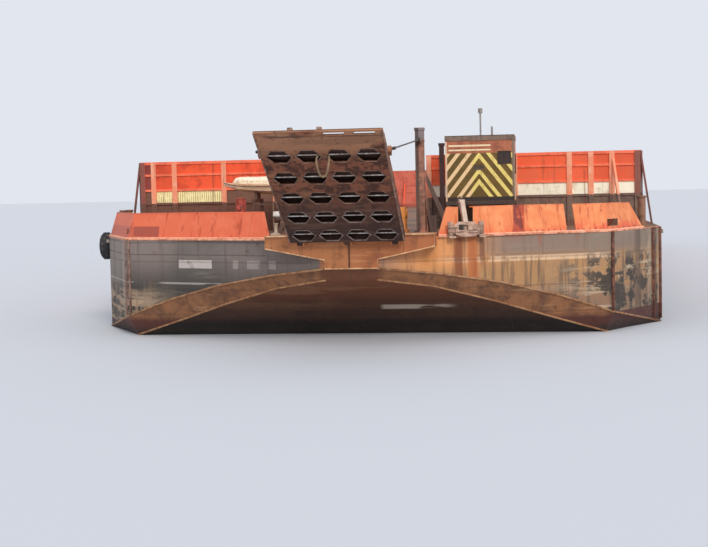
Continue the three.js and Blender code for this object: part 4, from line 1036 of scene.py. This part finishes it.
# Window glass: dark, smooth and faintly waved
glass = finish(
    "tinted_window_glass", 400, "#3b2623",
    (("#4e3833", 0.6, ("blotch", 0.5, 0.65)),),
    0.08, 0.2, 0.001, "broad",
)
pane_mesh, window_mesh, louvre_mesh, roof_mesh = (bmesh.new() for _ in range(4))
block(pane_mesh, (CABIN_FRONT - 0.018, 2.1455, 3.2705), (CABIN_FRONT - 0.012, 2.3545, 3.4695))
block(pane_mesh, (13.4, CABIN_PORT - 0.018, 3.1), (13.8, CABIN_PORT - 0.012, 3.425))
piece("cabin_panes", pane_mesh, glass)
opening = [(CABIN_FRONT + 0.004, y, z) for y, z in rectangle(2.14, 3.265, 2.36, 3.475)]
sweep(window_mesh, opening, bar_section(0.02, 0.014), (1, 0, 0), True)
block(window_mesh, (CABIN_FRONT - 0.011, 2.246, 3.275), (CABIN_FRONT + 0.006, 2.254, 3.465))
opening = [(x, CABIN_PORT + 0.004, z) for x, z in rectangle(13.395, 3.095, 13.805, 3.43)]
sweep(window_mesh, opening, bar_section(0.02, 0.014), (0, 1, 0), True)
window_enamel = gear_paint("dark_window_frame_enamel", "#241917", "#33221e")
piece("window_frames", window_mesh, window_enamel, bevel=0.002)
tip = Matrix.Rotation(math.radians(35), 4, "Y")
for k in range(4):
    slat = Matrix.Translation((CABIN_FRONT - 0.014, 1.8025, 3.17 + 0.022 * k)) @ tip
    block(louvre_mesh, (-0.012, -0.09, -0.0025), (0.012, 0.09, 0.0025), slat)
piece("vent_louvres", louvre_mesh, steel_grey)
roof_edge = [(x, y, 3.757) for x, y in rectangle(13.122, 1.226, 14.103, 2.419)]
sweep(roof_mesh, roof_edge, bar_section(0.012, 0.014), closed=True)
for k in range(5):
    block(roof_mesh, (13.15 + 0.225 * k, 1.23, 3.7495), (13.17 + 0.225 * k, 2.415, 3.755))
piece("roof_drip_edge", roof_mesh, gear_paint("tarred_roof_edge", "#4d443e", "#37302c"))

# Cabin steps: four plate treads between two flat-bar stringers, leaning on the side of the frame. They are
# of the same grey painted steel as the louvres.
step_mesh = bmesh.new()
for k in range(4):
    z = 2.28 + 0.09 * k
    block(step_mesh, (13.38, 1.02 + 0.03 * k, z), (13.68, 1.13 + 0.03 * k, z + 0.012))
for x in (13.37, 13.68):
    sweep(step_mesh, [(x, 1.02, 2.14), (x, 1.2, 2.62)], bar_section(0.014, 0.05), (1, 0, 0))
piece("cabin_steps", step_mesh, steel_grey, bevel=0.002)

# Lamp pole and stove pipe on the roof, the stern light and the ladder are all hot-dip galvanised steel:
# grey spangle, white bloom, and rust at the welds. The skiff's rack and the guard rail are painted.
SPANGLE = 14  # mm across a crystal of the zinc

# Hot-dip zinc, years old: dull mid grey with pale bloom and brown weeps
work = start_finish("weathered_galvanising", 90)
spangle = node(work.tree, "TexVoronoi", {"Vector": work.place, "Scale": 1000 / SPANGLE}, 1)
colour = lay(
    work, "#8b857d",
    (spangle, 0.12), ("#b5aea4", 0.6, ("scuffs", 0.52, 0.66)), ("#7a5743", 0.8, ("blotch", 0.54, 0.66)),
)
zinc = end_finish(work, colour, 0.4, 0.7, 0.003, metallic=0.35)
wear(zinc, "cabin_mast", "cabin_vent", "stern_light", "stern_ladder")
wear(gear_paint("brown_rack_paint", "#5f4032", "#45302a"), "skiff_rack")
wear(gear_paint("rusty_rail_paint", "#80604e", "#5f463a"), "guard_rail_starboard")

# Switch box and roller: a white enamelled steel box for the pump's switch, clamped on the guard rail's near
# end, and a cast roller on a bolted bracket below it that leads lines over the edge.
switch_mesh, roller_mesh = bmesh.new(), bmesh.new()
block(switch_mesh, (15.68, -1.525, 2.455), (15.76, -1.4, 2.54))
block(switch_mesh, (15.757, -1.515, 2.465), (15.768, -1.41, 2.53))
block(switch_mesh, (15.7, -1.53, 2.44), (15.74, -1.395, 2.4555))
for radius, low, high in ((0.03, 2.2, 2.33), (0.045, 2.18, 2.2), (0.042, 2.33, 2.345)):
    disc(roller_mesh, (15.85, -1.46, (low + high) / 2), radius, high - low)
block(roller_mesh, (15.78, -1.54, 2.135), (15.92, -1.38, 2.181))
piece("switch_box", switch_mesh, gear_paint("white_switch_enamel", "#f4efe6", "#c9b7a2"), bevel=0.004)
piece("mooring_roller", roller_mesh, gear_paint("pale_roller_paint", "#cdb9a4", "#94755e"), bevel=0.003)

# Skiff: a moulded glass-fibre boat lying in its rack under a laced sheet. A rubber strake is bolted along
# both gunwales.
TIP, TAIL, SKIFF_X = -2.75, -0.75, 14.0
# t along the boat, half breadth, gunwale height
GUNWALE = ((0.0, 0.02, 3.05), (0.15, 0.2, 3.005), (0.4, 0.33, 2.985), (0.7, 0.35, 2.975), (1.0, 0.3, 2.975))

# Dirty cream gelcoat gone brown: smooth, with scratches and tide marks along its length
gelcoat = finish(
    "chalked_gelcoat", 150, "#ffdcb8",
    (
        ("#e8b894", 0.9, ("blotch", 0.48, 0.64)),
        ("#fae4c8", 0.6, ("scuffs", 0.54, 0.66)),
        ("#c29674", 0.6, ("z", 2.86, 2.78)),
    ),
    0.25, 0.5, 0.004, "broad",
)
wear(gelcoat, "skiff")
strake_mesh = bmesh.new()
for side in (1, -1):
    line = []
    for t, half, rise in GUNWALE:
        line.append((SKIFF_X + side * (half - 0.002), TIP + (TAIL - TIP) * t, rise - 0.014))
    sweep(strake_mesh, smooth_line(line, 5), round_section(0.011))
strake_rubber = gear_paint("strake_rubber", "#c09a7a", "#8a6c58")
piece("skiff_rubbing_strake", strake_mesh, strake_rubber, soft=True)

# Skiff sheet: heavy proofed canvas laced over the boat, sagging between its frames, wrinkled near the
# lashings and drawn down to the gunwale.
RIBS = (
    # t, half breadth, edge height, top height
    (0.08, 0.085, 3.0264, 3.118),
    (0.15, 0.186, 3.0054, 3.14),
    (0.4, 0.316, 2.9854, 3.14),
    (0.7, 0.336, 2.9754, 3.135),
    (0.97, 0.296, 2.9754, 3.11),
)
ALONG, ACROSS = 110, 44  # faces of the sheet
WEAVE_PITCH = 31.567  # mm between drawn threads


def between(t, column):
    """A value from the sheet's table at t along the boat, on straight lines between its ribs."""
    for low, high in zip(RIBS, RIBS[1:]):
        if t <= high[0]:
            share = (t - low[0]) / (high[0] - low[0])
            return low[column] + (high[column] - low[column]) * share
    return RIBS[-1][column]


def sheet_point(i, j):
    """One point of the draped canvas: along the boat by i, over it from edge to edge by j."""
    t = 0.085 + (0.965 - 0.085) * i / ALONG
    half, edge, crown = (between(t, column) for column in (1, 2, 3))
    s = 2 * j / ACROSS - 1
    turned = max(0.0, (abs(s) - 0.72) / 0.28)
    reach = half * min(1.0, abs(s) / 0.8) * (0.9 + 0.1 * turned)
    sag = 0.005 * math.sin(math.pi * ((t * 5) % 1)) ** 2 * (1 - turned)
    top = crown - 0.034 * min(1.0, abs(s) / 0.72) ** 2 - sag
    closed = min(1.0, i / (0.03 * ALONG), (ALONG - i) / (0.06 * ALONG))
    top = edge + 0.006 + (top - edge - 0.006) * math.sin(math.pi / 2 * closed) ** 0.8
    z = top + (edge + 0.004 - top) * turned**1.3
    fold = 0.006 * math.sin(t * 150 + 2.2 * math.sin(t * 31)) * turned
    crease = noise.noise(Vector((t * 26, s * 3.1, 1.7)))
    x = SKIFF_X + math.copysign(reach + fold - 0.004 * turned, s)
    y = TIP + (TAIL - TIP) * t + 0.008 * crease
    return Vector((x, y, z + 0.003 * crease * (1 - turned)))


# Proofed cotton canvas: cream, sun-bleached on top, brown with dirt in the folds; the weave is drawn coarse
work = start_finish("proofed_canvas", 110)
inputs = {"Vector": work.place, "Scale": WAVE_PITCH / WEAVE_PITCH}
warp, weft = (node(work.tree, "TexWave", inputs, 1, bands_direction=way) for way in "YX")
weave = node(work.tree, "Math", {0: warp, 1: weft}, operation="MULTIPLY")
height = node(work.tree, "Math", {0: weave, 1: 0.15, 2: work.blotch}, operation="MULTIPLY_ADD")
colour = lay(
    work, "#ffe6c4",
    ("#fff2dc", 0.8, ("blotch", 0.44, 0.6)),
    ("#c9a07a", 0.7, ("up", 0.4, 0.1), ("blotch", 0.44, 0.58)),
    ("#8f6d50", 0.6, ("runs", 0.56, 0.68)),
)
canvas = end_finish(work, colour, 0.8, 0.95, 0.004, height, edge=0.002)
sheet_mesh = bmesh.new()
grid = [[sheet_mesh.verts.new(sheet_point(i, j)) for j in range(ACROSS + 1)] for i in range(ALONG + 1)]
cloth_area = 0.0
for i in range(ALONG):
    for j in range(ACROSS):
        face = sheet_mesh.faces.new((grid[i][j], grid[i + 1][j], grid[i + 1][j + 1], grid[i][j + 1]))
        cloth_area += face.calc_area()
sheet_cloth = piece("skiff_sheet", sheet_mesh, canvas, soft=True)
thick = sheet_cloth.modifiers.new("cloth", "SOLIDIFY")
thick.thickness = 0.002
thick.offset = 0.0
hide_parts("skiff_cover")

# Deck pump: a cast motor in signal red on a fabricated pedestal. Cooling fins run up its casing between two
# clamped rings.
PUMP = (15.0, -2.2375)
FINS = 16
pump_finish = gear_paint("signal_red_pump_enamel", "#bc5042", "#963f35")
wear(pump_finish, "deck_pump")
fin_mesh = bmesh.new()
for k in range(FINS):
    spin = Matrix.Translation((*PUMP, 2.66)) @ Matrix.Rotation(2 * math.pi * k / FINS, 4, "Z")
    block(fin_mesh, (0.07, -0.004, -0.085), (0.09, 0.004, 0.085), spin)
for z in (2.56, 2.765):
    disc(fin_mesh, (*PUMP, z), 0.09, 0.016, 24, 0.086)
piece("pump_fins", fin_mesh, pump_finish)

# Bollards: pairs of rolled posts on base plates, brown where ropes have rubbed. Each post has a flared head
# with a cap plate welded on.


def packed(kind):
    """The name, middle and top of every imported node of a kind."""
    for name in nodes:
        if name.startswith(kind):
            low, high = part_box(name)
            yield name, (low + high) / 2, high.z


bollard_finish = gear_paint("rubbed_bollard_paint", "#8d6249", "#6a4a3a")
bollard = bmesh.new()
disc(bollard, (0, 0, -0.02), 0.0575, 0.03, top=0.074)
disc(bollard, (0, 0, 0.002), 0.074, 0.014, top=0.07)
heads = []
for name, middle, top in packed("bollard_"):
    wear(bollard_finish, name)
    heads += [((middle.x + d, middle.y, top - 0.009), (0, 0, 0)) for d in (-0.19, 0.19)]
spread_pieces("bollard_heads", bollard, heads, bollard_finish)

# Tyres: worn lorry tyres hung against the rubbing bars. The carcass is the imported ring; tread blocks run
# round it in three rows, and each hangs by two chains from the deck edge.
TREADS = 44  # blocks in a row
FLATS = 14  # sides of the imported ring
FLAT = 2 * math.pi / FLATS
TYRE_REACH = 0.245

# Perished rubber: grey-black, chalky where the sun reaches it, with brown runs
tyre_finish = finish(
    "perished_tyre_rubber", 120, "#2c2d31",
    (("#47433f", 0.8, ("blotch", 0.48, 0.62)), ("#6b5f55", 0.5, ("runs", 0.56, 0.66))),
    0.7, 0.95, 0.004,
)
tread = bmesh.new()
block(tread, (-0.008, -0.016, -0.004), (0.008, 0.016, 0.005))
treads, shackles = [], []
for name, hub, _ in packed("tyre_"):
    wear(tyre_finish, name)
    for k in range(TREADS):
        for shift, across in ((0.5, -0.026), (1.0, 0.0), (0.5, 0.026)):
            angle = 2 * math.pi * (k + shift) / TREADS
            reach = TYRE_REACH * math.cos(FLAT / 2) / math.cos(angle % FLAT - FLAT / 2)
            place = hub + Vector((reach * math.cos(angle), across, reach * math.sin(angle)))
            treads.append((place, (0, math.pi / 2 - angle, 0)))
    for x in (-0.12, 0.12):
        head = Vector((hub.x + x * 1.3, math.copysign(HALF_BEAM - 0.03, hub.y), DECK + 0.01))
        shackles += links_along(hub + Vector((x, 0, 0.19)), head, 0.034)
spread_pieces("tyre_tread", tread, treads, tyre_finish)
small_link = chain_link(0.008, 0.014, 0.012, 0.0042, 8, 5)
spread_pieces("tyre_chains", small_link, shackles, cast_iron("rusted_tyre_chain", "#6d5040", "#40302a"))

# Manholes: steel lids on low coamings, trodden to brown. A ring of nuts holds each one down, and a bent bar
# is welded across it to lift it by.
NUTS = 16
GRAB = ((-0.08, 0.0), (-0.08, 0.03), (0.08, 0.03), (0.08, 0.0))  # x, z of the lifting bar
lid_finish = gear_paint("trodden_lid_paint", "#7c6857", "#5d473a")
nut, lid_mesh = bmesh.new(), bmesh.new()
disc(nut, (0, 0, 0.005), 0.011, 0.014, 6, 0.01)
nuts = []
for name, middle, top in packed("manhole_"):
    wear(lid_finish, name)
    for k in range(NUTS):
        x, y = around(0.165, NUTS, k)
        nuts.append(((middle.x + x, middle.y + y, top), (0, 0, 2 * math.pi * k / NUTS)))
    grab = [(middle.x + x, middle.y, top + z) for x, z in GRAB]
    sweep(lid_mesh, grab, round_section(0.007, 6), (0, 1, 0))
spread_pieces("manhole_nuts", nut, nuts, lid_finish)
piece("manhole_grab_bars", lid_mesh, lid_finish)

# Floor at the waterline, pale and plain, with soft studio light: an even pale sky, and a warm sun from
# ahead and above.
bpy.ops.mesh.primitive_plane_add(size=600, location=(0, 0, WATERLINE))
floor = bpy.context.object
floor.name = "floor"
floor_material = bpy.data.materials.new("pale_floor")
floor_material.use_nodes = True
floor_shader = floor_material.node_tree.nodes["Principled BSDF"]
floor_shader.inputs["Base Color"].default_value = linear("#cfd2d8")
floor_shader.inputs["Roughness"].default_value = 0.9
floor.data.materials.append(floor_material)

world = bpy.data.worlds.new("soft_studio")
world.use_nodes = True
backdrop = world.node_tree.nodes["Background"]
backdrop.inputs["Color"].default_value = linear("#e4e8f0")
backdrop.inputs["Strength"].default_value = 0.98
bpy.context.scene.world = world
sun = bpy.data.objects.new("key", bpy.data.lights.new("key", "SUN"))
sun.data.energy = 1.7
sun.data.angle = math.radians(18)
sun.data.color = (1.0, 0.95, 0.88)
sun.rotation_euler = (math.radians(60), 0, math.radians(112))
bpy.context.scene.collection.objects.link(sun)
bpy.context.scene.view_settings.view_transform = "Standard"
